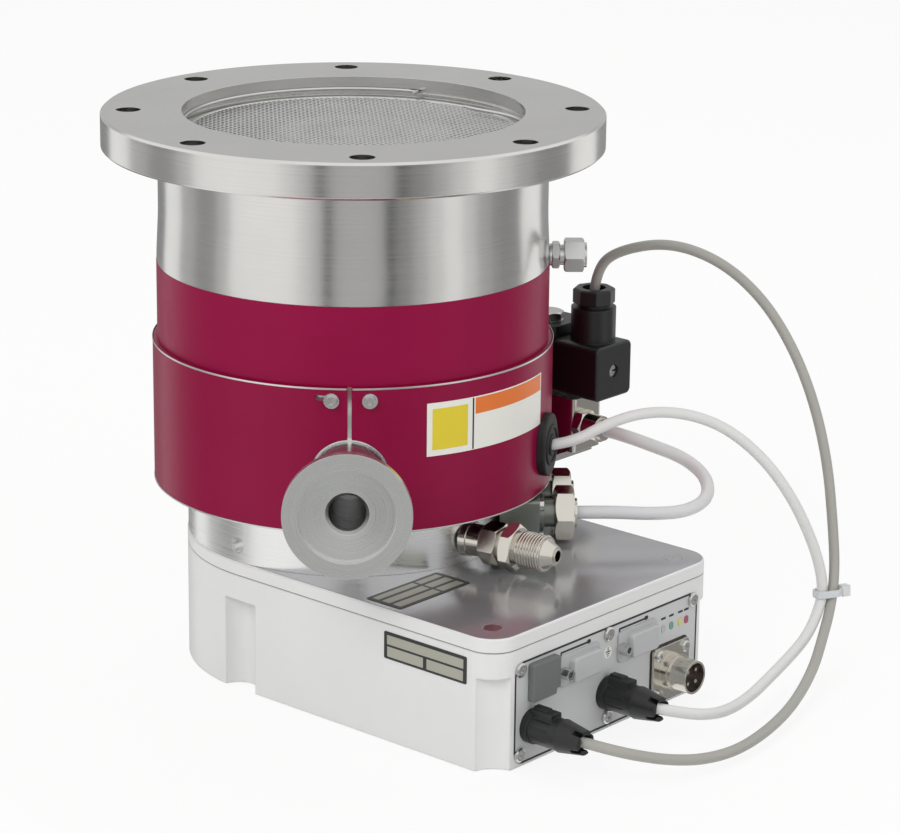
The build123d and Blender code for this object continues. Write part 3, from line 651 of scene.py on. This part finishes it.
# its sides are sprayed with the housing; a dark grey band under its edge is painted shade for the gap
# between plate and housing
paint_top, gap_shade_top = 60.12 * MM, 54.15 * MM
tree = ground_plate.node_tree
surface = next(n for n in tree.nodes if n.type == "OUTPUT_MATERIAL").inputs["Surface"]
ground_skin = surface.links[0].from_socket
height = node(
    tree,
    "ShaderNodeSeparateXYZ",
    {0: node(tree, "ShaderNodeTexCoord").outputs["Object"]},
).outputs[2]
on_top = node(tree, "ShaderNodeMath", {0: height, 1: paint_top}, operation="GREATER_THAN")
# painted shade: below this height the plate's side turns dark grey, for the shadowed gap under its
# edge
in_gap_shade = node(tree, "ShaderNodeMath", {0: height, 1: gap_shade_top}, operation="LESS_THAN")
side_paint_and_gap_shade = node(
    tree,
    "ShaderNodeMix",
    {"Factor": in_gap_shade.outputs[0], 6: linear("#E4E4E4"), 7: linear("#8E8E8E")},
    data_type="RGBA",
)
side_round = node(tree, "ShaderNodeBevel", {"Radius": 0.9 * MM}, samples=4)
side_skin = node(
    tree,
    "ShaderNodeBsdfPrincipled",
    {"Base Color": side_paint_and_gap_shade.outputs[2], "Roughness": 0.38, "Normal": side_round.outputs[0]},
)
chosen = node(
    tree,
    "ShaderNodeMixShader",
    {0: on_top.outputs[0], 1: side_skin.outputs[0], 2: ground_skin},
)
tree.links.new(chosen.outputs[0], surface)
panel_paint = coated(
    "anodised_grey_aluminium",
    "#CBCCCD",
    "#C4C5C6",
    0.42,
    0.9,
    3.0,
    edge=0.4,
    IOR=1.6,
)
cover_paint = coated(
    "satin_grey_cover_paint",
    "#BEBFC0",
    "#B7B8B9",
    0.36,
    1.2,
    2.0,
    edge=0.6,
    IOR=1.5,
)
dark_plastic = coated(
    "moulded_dark_grey_abs",
    "#6E7171",
    "#676A6A",
    0.5,
    0.8,
    6.0,
    edge=0.8,
    IOR=1.53,
)
dress(["base_housing"], housing_paint)
dress(["top_plate"], ground_plate)
dress(["connector_panel"], panel_paint)
dress(["port_covers"], cover_paint)
dress(["blank_cover"], dark_plastic)


def plate(
    name,
    centre,
    across,
    upward,
    width,
    height,
    thickness,
    corner,
    material,
    body="pump",
):
    """A thin plate with rounded corners, lying on a face; sizes in millimetres."""
    across = Vector(across).normalized()
    upward = Vector(upward).normalized()
    out = across.cross(upward)
    outline = []
    for sx, sy, first in ((1, 1, 0), (-1, 1, 90), (-1, -1, 180), (1, -1, 270)):
        for step in range(5):
            a = math.radians(first + 22.5 * step)
            x = sx * (width / 2 - corner) + corner * math.cos(a)
            y = sy * (height / 2 - corner) + corner * math.sin(a)
            outline.append(Vector(centre) + across * x + upward * y)
    n = len(outline)
    points = [p * MM for p in outline] + [(p + out * thickness) * MM for p in outline]
    faces = [tuple(reversed(range(n))), tuple(range(n, 2 * n))]
    faces += [(i, (i + 1) % n, n + (i + 1) % n, n + i) for i in range(n)]
    made = add_mesh(name, points, faces, material)
    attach(made, body)
    return made


east, north, skyward = (0, 1, 0), (-1, 0, 0), (0, 0, 1)
plate_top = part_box("top_plate")[1][2] / MM
# blank rating plates: black anodised foil with pale fields left empty
foil_black = coated(
    "anodised_black_foil",
    "#3C3E3C",
    "#343634",
    0.36,
    1.0,
    1.0,
    metallic=0.3,
    edge=0.1,
)
foil_pale = coated("etched_pale_foil", "#B9B8AC", "#AFAEA2", 0.36, 1.0, 1.0, metallic=0.4, edge=0.1)
plate(
    "top_rating_plate",
    (85, -49, plate_top),
    east,
    north,
    46,
    20,
    0.25,
    1.0,
    foil_black,
)
for index, (x, y, wide, deep) in enumerate(
    (
        (91, -57, 26, 4.5),
        (84.6, -57, 26, 4.5),
        (78.6, -57, 26, 3.6),
        (91, -35.5, 14, 4.5),
        (84.6, -35.5, 14, 4.5),
        (78.6, -35.5, 14, 3.6),
    )
):
    plate(
        f"top_rating_field_{index}",
        (x, y, plate_top + 0.25),
        east,
        north,
        wide,
        deep,
        0.05,
        0.4,
        foil_pale,
    )
side_x, side_y, side_z = 113.0, -76.0, 44.2
plate(
    "side_rating_plate",
    (side_x, side_y, side_z),
    (1, 0, 0),
    skyward,
    47,
    12.4,
    0.25,
    0.8,
    foil_black,
)
for index, (dx, dz, wide, deep) in enumerate(
    ((0, 2.6, 43.5, 4.2), (-11.3, -2.8, 20.6, 4.6), (11.3, -2.8, 20.6, 4.6))
):
    plate(
        f"side_rating_field_{index}",
        (side_x + dx, side_y - 0.25, side_z + dz),
        (1, 0, 0),
        skyward,
        wide,
        deep,
        0.05,
        0.3,
        foil_pale,
    )

# ------------------------------------------------------------------ front panel details
# Small light windows, an earthing mark, and dark lines along the grooves that frame the two port
# covers, as painted shade.
# Each is a thin inlay of tinted acrylic or ink on the anodised panel.
panel_x = 152.2
inlet_y, inlet_z = 43.2, 15.2
earth_y, earth_z = -0.5, 35.5
lens_colours = (("#B9BCB8", 38.6), ("#6FA08A", 44.4), ("#D3CF83", 50.9), ("#A85468", 55.3))
for index, (colour, y) in enumerate(lens_colours):
    tinted = coated(
        f"tinted_acrylic_lens_{index}",
        colour,
        colour,
        0.15,
        2.0,
        1.0,
        edge=0.2,
        IOR=1.49,
    )
    plate(
        f"light_window_{index}",
        (panel_x, y, 35.8),
        east,
        skyward,
        2.7,
        3.6,
        0.3,
        1.2,
        tinted,
    )
    plate(
        f"light_legend_{index}",
        (panel_x, y, 40.6),
        east,
        skyward,
        3.4,
        1.0,
        0.06,
        0.3,
        black_ink_and_shade,
    )
plate(
    "earth_mark_ground",
    (panel_x, earth_y, earth_z),
    east,
    skyward,
    5.4,
    5.4,
    0.08,
    2.6,
    label_white,
)
for index, (dz, wide) in enumerate(((0.4, 3.4), (-0.6, 2.2), (-1.6, 1.0))):
    plate(
        f"earth_mark_bar_{index}",
        (panel_x + 0.08, earth_y, earth_z + dz),
        east,
        skyward,
        wide,
        0.45,
        0.05,
        0.1,
        black_ink_and_shade,
    )
plate(
    "earth_mark_stem",
    (panel_x + 0.08, earth_y, 36.9),
    east,
    skyward,
    0.45,
    2.2,
    0.05,
    0.1,
    black_ink_and_shade,
)


def outline_frame(name, y, z, width, height, corner, line, x, material):
    """A thin inked or sealed line round a rounded rectangle on the panel."""
    rings = []
    for grow in (line, 0.0):
        ring = []
        for sy, sz, first in ((1, 1, 0), (-1, 1, 90), (-1, -1, 180), (1, -1, 270)):
            for step in range(6):
                a = math.radians(first + 18 * step)
                ring.append(
                    (
                        y + sy * (width / 2 - corner) + (corner + grow) * math.cos(a),
                        z + sz * (height / 2 - corner) + (corner + grow) * math.sin(a),
                    )
                )
        rings.append(ring)
    n = len(rings[0])
    points = [(px * MM, a * MM, b * MM) for px in (x, x + 0.08) for ring in rings for a, b in ring]
    faces = []
    for i in range(n):
        k = (i + 1) % n
        faces += [
            (2 * n + i, 2 * n + k, 3 * n + k, 3 * n + i),
            (i, n + i, n + k, k),
            (i, k, 2 * n + k, 2 * n + i),
            (n + k, n + i, 3 * n + i, 3 * n + k),
        ]
    made = add_mesh(name, points, faces, material)
    clean = bmesh.new()
    clean.from_mesh(made.data)
    bmesh.ops.recalc_face_normals(clean, faces=clean.faces)
    clean.to_mesh(made.data)
    clean.free()
    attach(made, "pump")
    return made


outline_frame(
    "panel_seal_line",
    0,
    24.3,
    124.4,
    44.6,
    4.8,
    0.9,
    panel_x,
    black_ink_and_shade,
)
outline_frame(
    "power_inlet_gasket_line",
    inlet_y,
    inlet_z,
    25.5,
    25.5,
    2.2,
    0.8,
    panel_x,
    black_ink_and_shade,
)
# dark ink lines along the grooves round each port cover: painted shade for the grooves
for index, y in enumerate((-20.5, 19.5)):
    plate(
        f"port_groove_shade_top_{index}",
        (panel_x, y - 3.0, 44.2),
        east,
        skyward,
        18.0,
        0.9,
        0.08,
        0.4,
        black_ink_and_shade,
    )
    plate(
        f"port_groove_shade_side_{index}",
        (panel_x, y - 12.2, 41.9),
        east,
        skyward,
        0.9,
        5.5,
        0.08,
        0.4,
        black_ink_and_shade,
    )
    plate(
        f"port_groove_shade_dot_{index}",
        (panel_x, y + 6.6, 44.4),
        east,
        skyward,
        2.6,
        1.9,
        0.1,
        0.9,
        black_ink_and_shade,
    )

# ------------------------------------------------------------------ sockets, plugs and screws
# Nickel-plated connectors, zinc-plated steel screws and glass-filled nylon plugs.
nickel = coated(
    "nickel_plated_brass",
    "#D9D5CC",
    "#CBC7BE",
    0.17,
    1.2,
    2.0,
    metallic=1.0,
    edge=0.35,
)
zinc_steel = coated(
    "zinc_plated_steel",
    "#D6D6D4",
    "#C4C4C3",
    0.24,
    0.9,
    2.0,
    metallic=1.0,
    edge=0.25,
)
black_nylon = coated(
    "moulded_black_nylon",
    "#151617",
    "#101112",
    0.38,
    0.5,
    8.0,
    edge=0.7,
    IOR=1.53,
)
black_rubber = coated(
    "moulded_black_rubber",
    "#1C1C1D",
    "#161617",
    0.58,
    0.4,
    6.0,
    edge=0.5,
    IOR=1.52,
)
brown_resin = coated(
    "moulded_brown_resin",
    "#3A211B",
    "#321B16",
    0.42,
    0.6,
    4.0,
    edge=0.3,
    IOR=1.55,
)
dress(
    [
        "power_inlet",
        "power_pins",
        "water_fitting",
        "valve_body",
        "front_hose_nut",
        "rear_hose_nut",
        "valve_fitting",
    ],
    nickel,
)
dress(
    [
        "panel_screws",
        "plate_screws",
        "cover_screws",
        "power_screws",
        "jacket_screws",
        "manifold_screws",
        "bracket_screws",
        "connector_screw",
        "coil_nut",
        "vent_fitting",
        "vent_nut",
        "valve_bracket",
        "retaining_ring",
        "board_standoffs",
        "rotor_nut",
        "rotor_shaft",
        "touchdown_bearings",
    ],
    zinc_steel,
)
dress(["plug_lower", "plug_upper", "valve_connector", "gland_nut", "solenoid_coil"], black_nylon)
dress(["cable_grommet", "connector_gasket"], black_rubber)
dress(["power_insulator"], brown_resin)
green_grey = coated(
    "hard_anodised_manifold",
    "#8C918A",
    "#7F847E",
    0.34,
    1.0,
    2.0,
    metallic=0.7,
    edge=0.5,
)
dress(["water_manifold"], green_grey)


def new_tree(name, **sizes):
    """A geometry tree with named inputs for its sizes; returns it with its two ends."""
    tree = bpy.data.node_groups.new(name, "GeometryNodeTree")
    tree.interface.new_socket("Geometry", in_out="INPUT", socket_type="NodeSocketGeometry")
    for label, value in sizes.items():
        kind = "NodeSocketInt" if isinstance(value, int) else "NodeSocketFloat"
        tree.interface.new_socket(label, in_out="INPUT", socket_type=kind).default_value = value
    tree.interface.new_socket("Material", in_out="INPUT", socket_type="NodeSocketMaterial")
    tree.interface.new_socket("Geometry", in_out="OUTPUT", socket_type="NodeSocketGeometry")
    return tree, node(tree, "NodeGroupInput"), node(tree, "NodeGroupOutput")


def finish_tree(tree, start, end, geometry):
    """Makes the instances real and gives them their material."""
    real = node(tree, "GeometryNodeRealizeInstances", {0: geometry})
    named = node(
        tree,
        "GeometryNodeSetMaterial",
        {"Geometry": real.outputs[0], "Material": start.outputs["Material"]},
    )
    tree.links.new(named.outputs[0], end.inputs[0])


def facing_points(tree, start, instance):
    """Puts the instance on every point, its own Z along the point's facing."""
    facing = node(
        tree,
        "GeometryNodeInputNamedAttribute",
        {"Name": "facing"},
        data_type="FLOAT_VECTOR",
    )
    turned_to = node(
        tree,
        "FunctionNodeAlignRotationToVector",
        {"Vector": facing.outputs[0]},
        axis="Z",
    )
    placed = node(
        tree,
        "GeometryNodeInstanceOnPoints",
        {"Points": start.outputs[0], "Instance": instance, "Rotation": turned_to.outputs[0]},
    )
    return placed.outputs[0]


def grown(name, places, tree, material, slot, body="pump", **sizes):
    """A plain mesh grown by a geometry tree from points and facings, in millimetres."""
    seed = bpy.data.meshes.new(name + "_seed")
    seed.from_pydata([tuple(c * MM for c in point) for point, _ in places], [], [])
    facing = seed.attributes.new("facing", "FLOAT_VECTOR", "POINT")
    for item, (_, direction) in zip(facing.data, places):
        item.vector = Vector(direction).normalized()
    holder = bpy.data.objects.new(name + "_holder", seed)
    bpy.context.scene.collection.objects.link(holder)
    modifier = holder.modifiers.new("grow", "NODES")
    modifier.node_group = tree
    for item in tree.interface.items_tree:
        if item.in_out != "INPUT":
            continue
        if item.name in sizes:
            modifier[item.identifier] = sizes[item.name]
        elif item.name == "Material":
            modifier[item.identifier] = material
    bpy.context.view_layer.update()
    solid = bpy.data.meshes.new_from_object(
        holder.evaluated_get(bpy.context.evaluated_depsgraph_get())
    )
    bpy.data.objects.remove(holder)
    made = bpy.data.objects.new(name, solid)
    bpy.context.scene.collection.objects.link(made)
    if not solid.materials:
        solid.materials.append(material)
    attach(made, body)
    return made


# a pan head with a turned-off rim and a six-lobed socket
screw_tree, start, end = new_tree(
    "lobed_screw",
    Radius=3.2 * MM,
    Height=1.0 * MM,
    Socket=1.75 * MM,
    Depth=0.8 * MM,
)
disc = node(
    screw_tree,
    "GeometryNodeMeshCylinder",
    {"Vertices": 36, "Radius": start.outputs["Radius"], "Depth": start.outputs["Height"]},
)
lift = node(
    screw_tree,
    "ShaderNodeMath",
    {0: start.outputs["Height"], 1: 0.45},
    operation="MULTIPLY",
)
rim = node(
    screw_tree,
    "GeometryNodeExtrudeMesh",
    {
        "Mesh": disc.outputs["Mesh"],
        "Selection": disc.outputs["Top"],
        "Offset Scale": lift.outputs[0],
        "Individual": False,
    },
)
crowned = node(
    screw_tree,
    "GeometryNodeScaleElements",
    {"Geometry": rim.outputs["Mesh"], "Selection": rim.outputs["Top"], "Scale": 0.76},
)
valley = node(
    screw_tree,
    "ShaderNodeMath",
    {0: start.outputs["Socket"], 1: 0.66},
    operation="MULTIPLY",
)
lobes = node(
    screw_tree,
    "GeometryNodeCurveStar",
    {"Points": 6, "Inner Radius": valley.outputs[0], "Outer Radius": start.outputs["Socket"]},
)
soft_lobes = node(
    screw_tree,
    "GeometryNodeCurveSplineType",
    {"Curve": lobes.outputs[0]},
    spline_type="CATMULL_ROM",
)
filled = node(screw_tree, "GeometryNodeFillCurve", {"Curve": soft_lobes.outputs[0]}, mode="NGONS")
deep = node(
    screw_tree,
    "ShaderNodeMath",
    {0: start.outputs["Height"], 1: start.outputs["Depth"]},
    operation="ADD",
)
bit = node(
    screw_tree,
    "GeometryNodeExtrudeMesh",
    {"Mesh": filled.outputs[0], "Offset Scale": deep.outputs[0], "Individual": False},
)
floor_of_bit = node(screw_tree, "GeometryNodeFlipFaces", {"Mesh": filled.outputs[0]})
bit_solid = node(screw_tree, "GeometryNodeJoinGeometry")
for part in (bit.outputs["Mesh"], floor_of_bit.outputs[0]):
    screw_tree.links.new(part, bit_solid.inputs[0])
bit_merged = node(
    screw_tree,
    "GeometryNodeMergeByDistance",
    {"Geometry": bit_solid.outputs[0], "Distance": 1e-6},
)
drop = node(
    screw_tree,
    "ShaderNodeMath",
    {0: start.outputs["Depth"], 1: -1.0},
    operation="MULTIPLY",
)
half = node(
    screw_tree,
    "ShaderNodeMath",
    {0: start.outputs["Height"], 1: 0.95},
    operation="MULTIPLY",
)
level = node(
    screw_tree,
    "ShaderNodeMath",
    {0: drop.outputs[0], 1: half.outputs[0]},
    operation="ADD",
)
low = node(screw_tree, "ShaderNodeCombineXYZ", {"Z": level.outputs[0]})
bit_placed = node(
    screw_tree,
    "GeometryNodeTransform",
    {"Geometry": bit_merged.outputs[0], "Translation": low.outputs[0]},
)
cut = node(screw_tree, "GeometryNodeMeshBoolean", operation="DIFFERENCE", solver="EXACT")
screw_tree.links.new(crowned.outputs[0], cut.inputs["Mesh 1"])
screw_tree.links.new(bit_placed.outputs[0], cut.inputs["Mesh 2"])
finish_tree(screw_tree, start, end, facing_points(screw_tree, start, cut.outputs[0]))

ahead = (1, 0, 0)
panel_screw_points = [
    ((panel_x + 0.5, y, z), ahead) for y in (-59.8, -0.5, 59.4) for z in (5.6, 44.2)
]
panel_screw_heads = grown(
    "panel_screw_heads",
    panel_screw_points,
    screw_tree,
    zinc_steel,
    "bright_steel",
)
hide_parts("panel_screws")
inlet_screw_points = [
    ((panel_x + 2.3, inlet_y + y, inlet_z + z), ahead) for y in (-9.25, 9.25) for z in (-9.25, 9.25)
]
inlet_screw_heads = grown(
    "power_inlet_screw_heads",
    inlet_screw_points,
    screw_tree,
    zinc_steel,
    "bright_steel",
    Radius=2.6 * MM,
    Height=1.0 * MM,
    Socket=1.4 * MM,
)
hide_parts("power_screws")
# dark plates on the floors of the sockets: painted shade where the sockets lie in shadow
for index, (point, _) in enumerate(panel_screw_points + inlet_screw_points):
    x, y, z = point
    plate(
        f"socket_painted_shade_{index}",
        (x - 0.42, y, z),
        east,
        skyward,
        2.4,
        2.4,
        0.04,
        1.1,
        black_ink_and_shade,
    )

# rolled thread, wound as one ridge
thread_tree, start, end = new_tree(
    "rolled_thread",
    Radius=7.9 * MM,
    Pitch=1.5 * MM,
    Turns=8.0,
    Ridge=0.5 * MM,
)
rise = node(
    thread_tree,
    "ShaderNodeMath",
    {0: start.outputs["Pitch"], 1: start.outputs["Turns"]},
    operation="MULTIPLY",
)
helix = node(
    thread_tree,
    "GeometryNodeCurveSpiral",
    {
        "Resolution": 32,
        "Rotations": start.outputs["Turns"],
        "Start Radius": start.outputs["Radius"],
        "End Radius": start.outputs["Radius"],
        "Height": rise.outputs[0],
    },
)
ridge = node(
    thread_tree,
    "GeometryNodeCurvePrimitiveCircle",
    {"Resolution": 4, "Radius": start.outputs["Ridge"]},
)
wound = node(
    thread_tree,
    "GeometryNodeCurveToMesh",
    {"Curve": helix.outputs[0], "Profile Curve": ridge.outputs[0], "Fill Caps": True},
)
finish_tree(thread_tree, start, end, facing_points(thread_tree, start, wound.outputs[0]))
fitting_angle, fitting_root, thread_from = math.radians(9.7), (75.8, -5.3, 71.4), 28.6
nose = Vector((math.cos(fitting_angle), math.sin(fitting_angle), 0))
nose_start = Vector(fitting_root) + nose * thread_from
grown(
    "fitting_thread",
    [(nose_start, nose)],
    thread_tree,
    nickel,
    "nickel",
    Pitch=1.4 * MM,
    Turns=7.6,
    Ridge=0.55 * MM,
)

# moulded lips round the grommet and its mouth
lip_tree, start, end = new_tree("moulded_lip", Radius=10.0 * MM, Bead=0.9 * MM)
lip_line = node(
    lip_tree,
    "GeometryNodeCurvePrimitiveCircle",
    {"Resolution": 64, "Radius": start.outputs["Radius"]},
)
lip_bead = node(
    lip_tree,
    "GeometryNodeCurvePrimitiveCircle",
    {"Resolution": 12, "Radius": start.outputs["Bead"]},
)
lip = node(
    lip_tree,
    "GeometryNodeCurveToMesh",
    {"Curve": lip_line.outputs[0], "Profile Curve": lip_bead.outputs[0]},
)
finish_tree(lip_tree, start, end, facing_points(lip_tree, start, lip.outputs[0]))
grommet_angle, grommet_reach, grommet_height = math.radians(24.5), 94.2, 107
grommet_line = Vector((math.cos(grommet_angle), math.sin(grommet_angle), 0))
grommet_face = grommet_line * grommet_reach + Vector((0, 0, grommet_height))
grown(
    "grommet_rim_lip",
    [(grommet_face, grommet_line)],
    lip_tree,
    black_rubber,
    "black_rubber",
    Radius=8.6 * MM,
    Bead=0.9 * MM,
)
grown(
    "grommet_mouth_lip",
    [(grommet_face, grommet_line)],
    lip_tree,
    black_rubber,
    "black_rubber",
    Radius=3.9 * MM,
    Bead=1.1 * MM,
)

# ------------------------------------------------------------------ inlet screen
# Woven stainless wire cloth in a hoop keeps loose parts out of the rotor.
# Two crossing sets of straight wires, drawn 2.6 mm apart.
screen_tree, start, end = new_tree("wire_cloth", Radius=74.0 * MM, Pitch=2.6 * MM, Wire=0.29 * MM)
left = node(
    screen_tree,
    "ShaderNodeMath",
    {0: start.outputs["Radius"], 1: -0.985},
    operation="MULTIPLY",
)
across_count = node(
    screen_tree,
    "ShaderNodeMath",
    {0: start.outputs["Radius"], 1: start.outputs["Pitch"]},
    operation="DIVIDE",
)
count = node(
    screen_tree,
    "ShaderNodeMath",
    {0: across_count.outputs[0], 1: 1.97},
    operation="MULTIPLY",
)
first = node(screen_tree, "ShaderNodeCombineXYZ", {"X": left.outputs[0]})
step = node(screen_tree, "ShaderNodeCombineXYZ", {"X": start.outputs["Pitch"]})
row = node(
    screen_tree,
    "GeometryNodeMeshLine",
    {"Count": count.outputs[0], "Start Location": first.outputs[0], "Offset": step.outputs[0]},
)
place = node(
    screen_tree,
    "ShaderNodeSeparateXYZ",
    {0: node(screen_tree, "GeometryNodeInputPosition").outputs[0]},
)
square = node(
    screen_tree,
    "ShaderNodeMath",
    {0: place.outputs[0], 1: place.outputs[0]},
    operation="MULTIPLY",
)
whole = node(
    screen_tree,
    "ShaderNodeMath",
    {0: start.outputs["Radius"], 1: start.outputs["Radius"]},
    operation="MULTIPLY",
)
rest = node(
    screen_tree,
    "ShaderNodeMath",
    {0: whole.outputs[0], 1: square.outputs[0]},
    operation="SUBTRACT",
)
root = node(screen_tree, "ShaderNodeMath", {0: rest.outputs[0]}, operation="SQRT")
chord = node(screen_tree, "ShaderNodeMath", {0: root.outputs[0], 1: 2.0}, operation="MULTIPLY")
stretch = node(screen_tree, "ShaderNodeCombineXYZ", {"X": 1.0, "Y": 1.0, "Z": chord.outputs[0]})
wire = node(
    screen_tree,
    "GeometryNodeMeshCylinder",
    {"Vertices": 6, "Radius": start.outputs["Wire"], "Depth": 1.0},
)
warp = node(
    screen_tree,
    "GeometryNodeInstanceOnPoints",
    {
        "Points": row.outputs[0],
        "Instance": wire.outputs["Mesh"],
        "Rotation": (math.radians(90), 0, 0),
        "Scale": stretch.outputs[0],
    },
)
over = node(screen_tree, "ShaderNodeCombineXYZ", {"Z": start.outputs["Wire"]})
weft = node(
    screen_tree,
    "GeometryNodeTransform",
    {
        "Geometry": warp.outputs[0],
        "Rotation": (0, 0, math.radians(90)),
        "Translation": over.outputs[0],
    },
)
hoop = node(
    screen_tree,
    "GeometryNodeCurvePrimitiveCircle",
    {"Resolution": 120, "Radius": start.outputs["Radius"]},
)
hoop_wire = node(
    screen_tree,
    "GeometryNodeCurvePrimitiveCircle",
    {"Resolution": 10, "Radius": 0.9 * MM},
)
rim = node(
    screen_tree,
    "GeometryNodeCurveToMesh",
    {"Curve": hoop.outputs[0], "Profile Curve": hoop_wire.outputs[0]},
)
cloth_parts = node(screen_tree, "GeometryNodeJoinGeometry")
for part in (warp.outputs[0], weft.outputs[0], rim.outputs[0]):
    screen_tree.links.new(part, cloth_parts.inputs[0])
on_seed = node(
    screen_tree,
    "GeometryNodeInstanceOnPoints",
    {"Points": start.outputs[0], "Instance": cloth_parts.outputs[0]},
)
finish_tree(screen_tree, start, end, on_seed.outputs[0])
wire_steel = coated(
    "drawn_stainless_wire",
    "#D5D5D4",
    "#C6C6C5",
    0.30,
    1.0,
    1.0,
    metallic=1.0,
    edge=0.1,
)
cloth_drop = 0.75
screen_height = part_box("inlet_screen")[1][2] / MM - cloth_drop
inlet_cloth = grown(
    "inlet_wire_cloth",
    [((0, 0, screen_height), skyward)],
    screen_tree,
    wire_steel,
    "screen_steel",
)
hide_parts("inlet_screen")

# ------------------------------------------------------------------ rotor, stators and inside
# Aluminium alloy rotor milled from one forging, with stamped and milled stator discs,
# magnetic bearings of stacked dark steel, and the drive electronics in the base.
milled_alloy = coated(
    "milled_aluminium_alloy",
    "#C6C7C8",
    "#B3B4B6",
    0.30,
    0.7,
    2.0,
    metallic=1.0,
    edge=0.2,
)
laminated_steel = coated(
    "stacked_dark_steel",
    "#55585B",
    "#46494C",
    0.38,
    0.6,
    3.0,
    metallic=0.9,
    edge=0.3,
)
wound_copper = coated(
    "enamelled_copper_winding",
    "#A65A2E",
    "#8C4722",
    0.34,
    0.9,
    12.0,
    metallic=0.8,
    edge=0.3,
)
solder_mask = coated("green_solder_mask", "#1F5C39", "#194D30", 0.32, 1.5, 4.0, edge=0.2, IOR=1.5)
dress(
    ["turbine_rotor", "stator_discs", "spacer_rings", "holweck_stator", "stator_column"],
    milled_alloy,
)
dress(
    ["rotor_sleeves", "radial_bearings", "axial_bearing", "drive_module", "valve_plunger"],
    laminated_steel,
)
dress(["motor_stator"], wound_copper)
dress(["control_board"], solder_mask)
dress(["inlet_screen"], zinc_steel)

# ------------------------------------------------------------------ every part dressed
undressed = [
    name
    for name, made in nodes.items()
    if not made.data.materials or not made.data.materials[0].use_nodes
]
assert not undressed, undressed
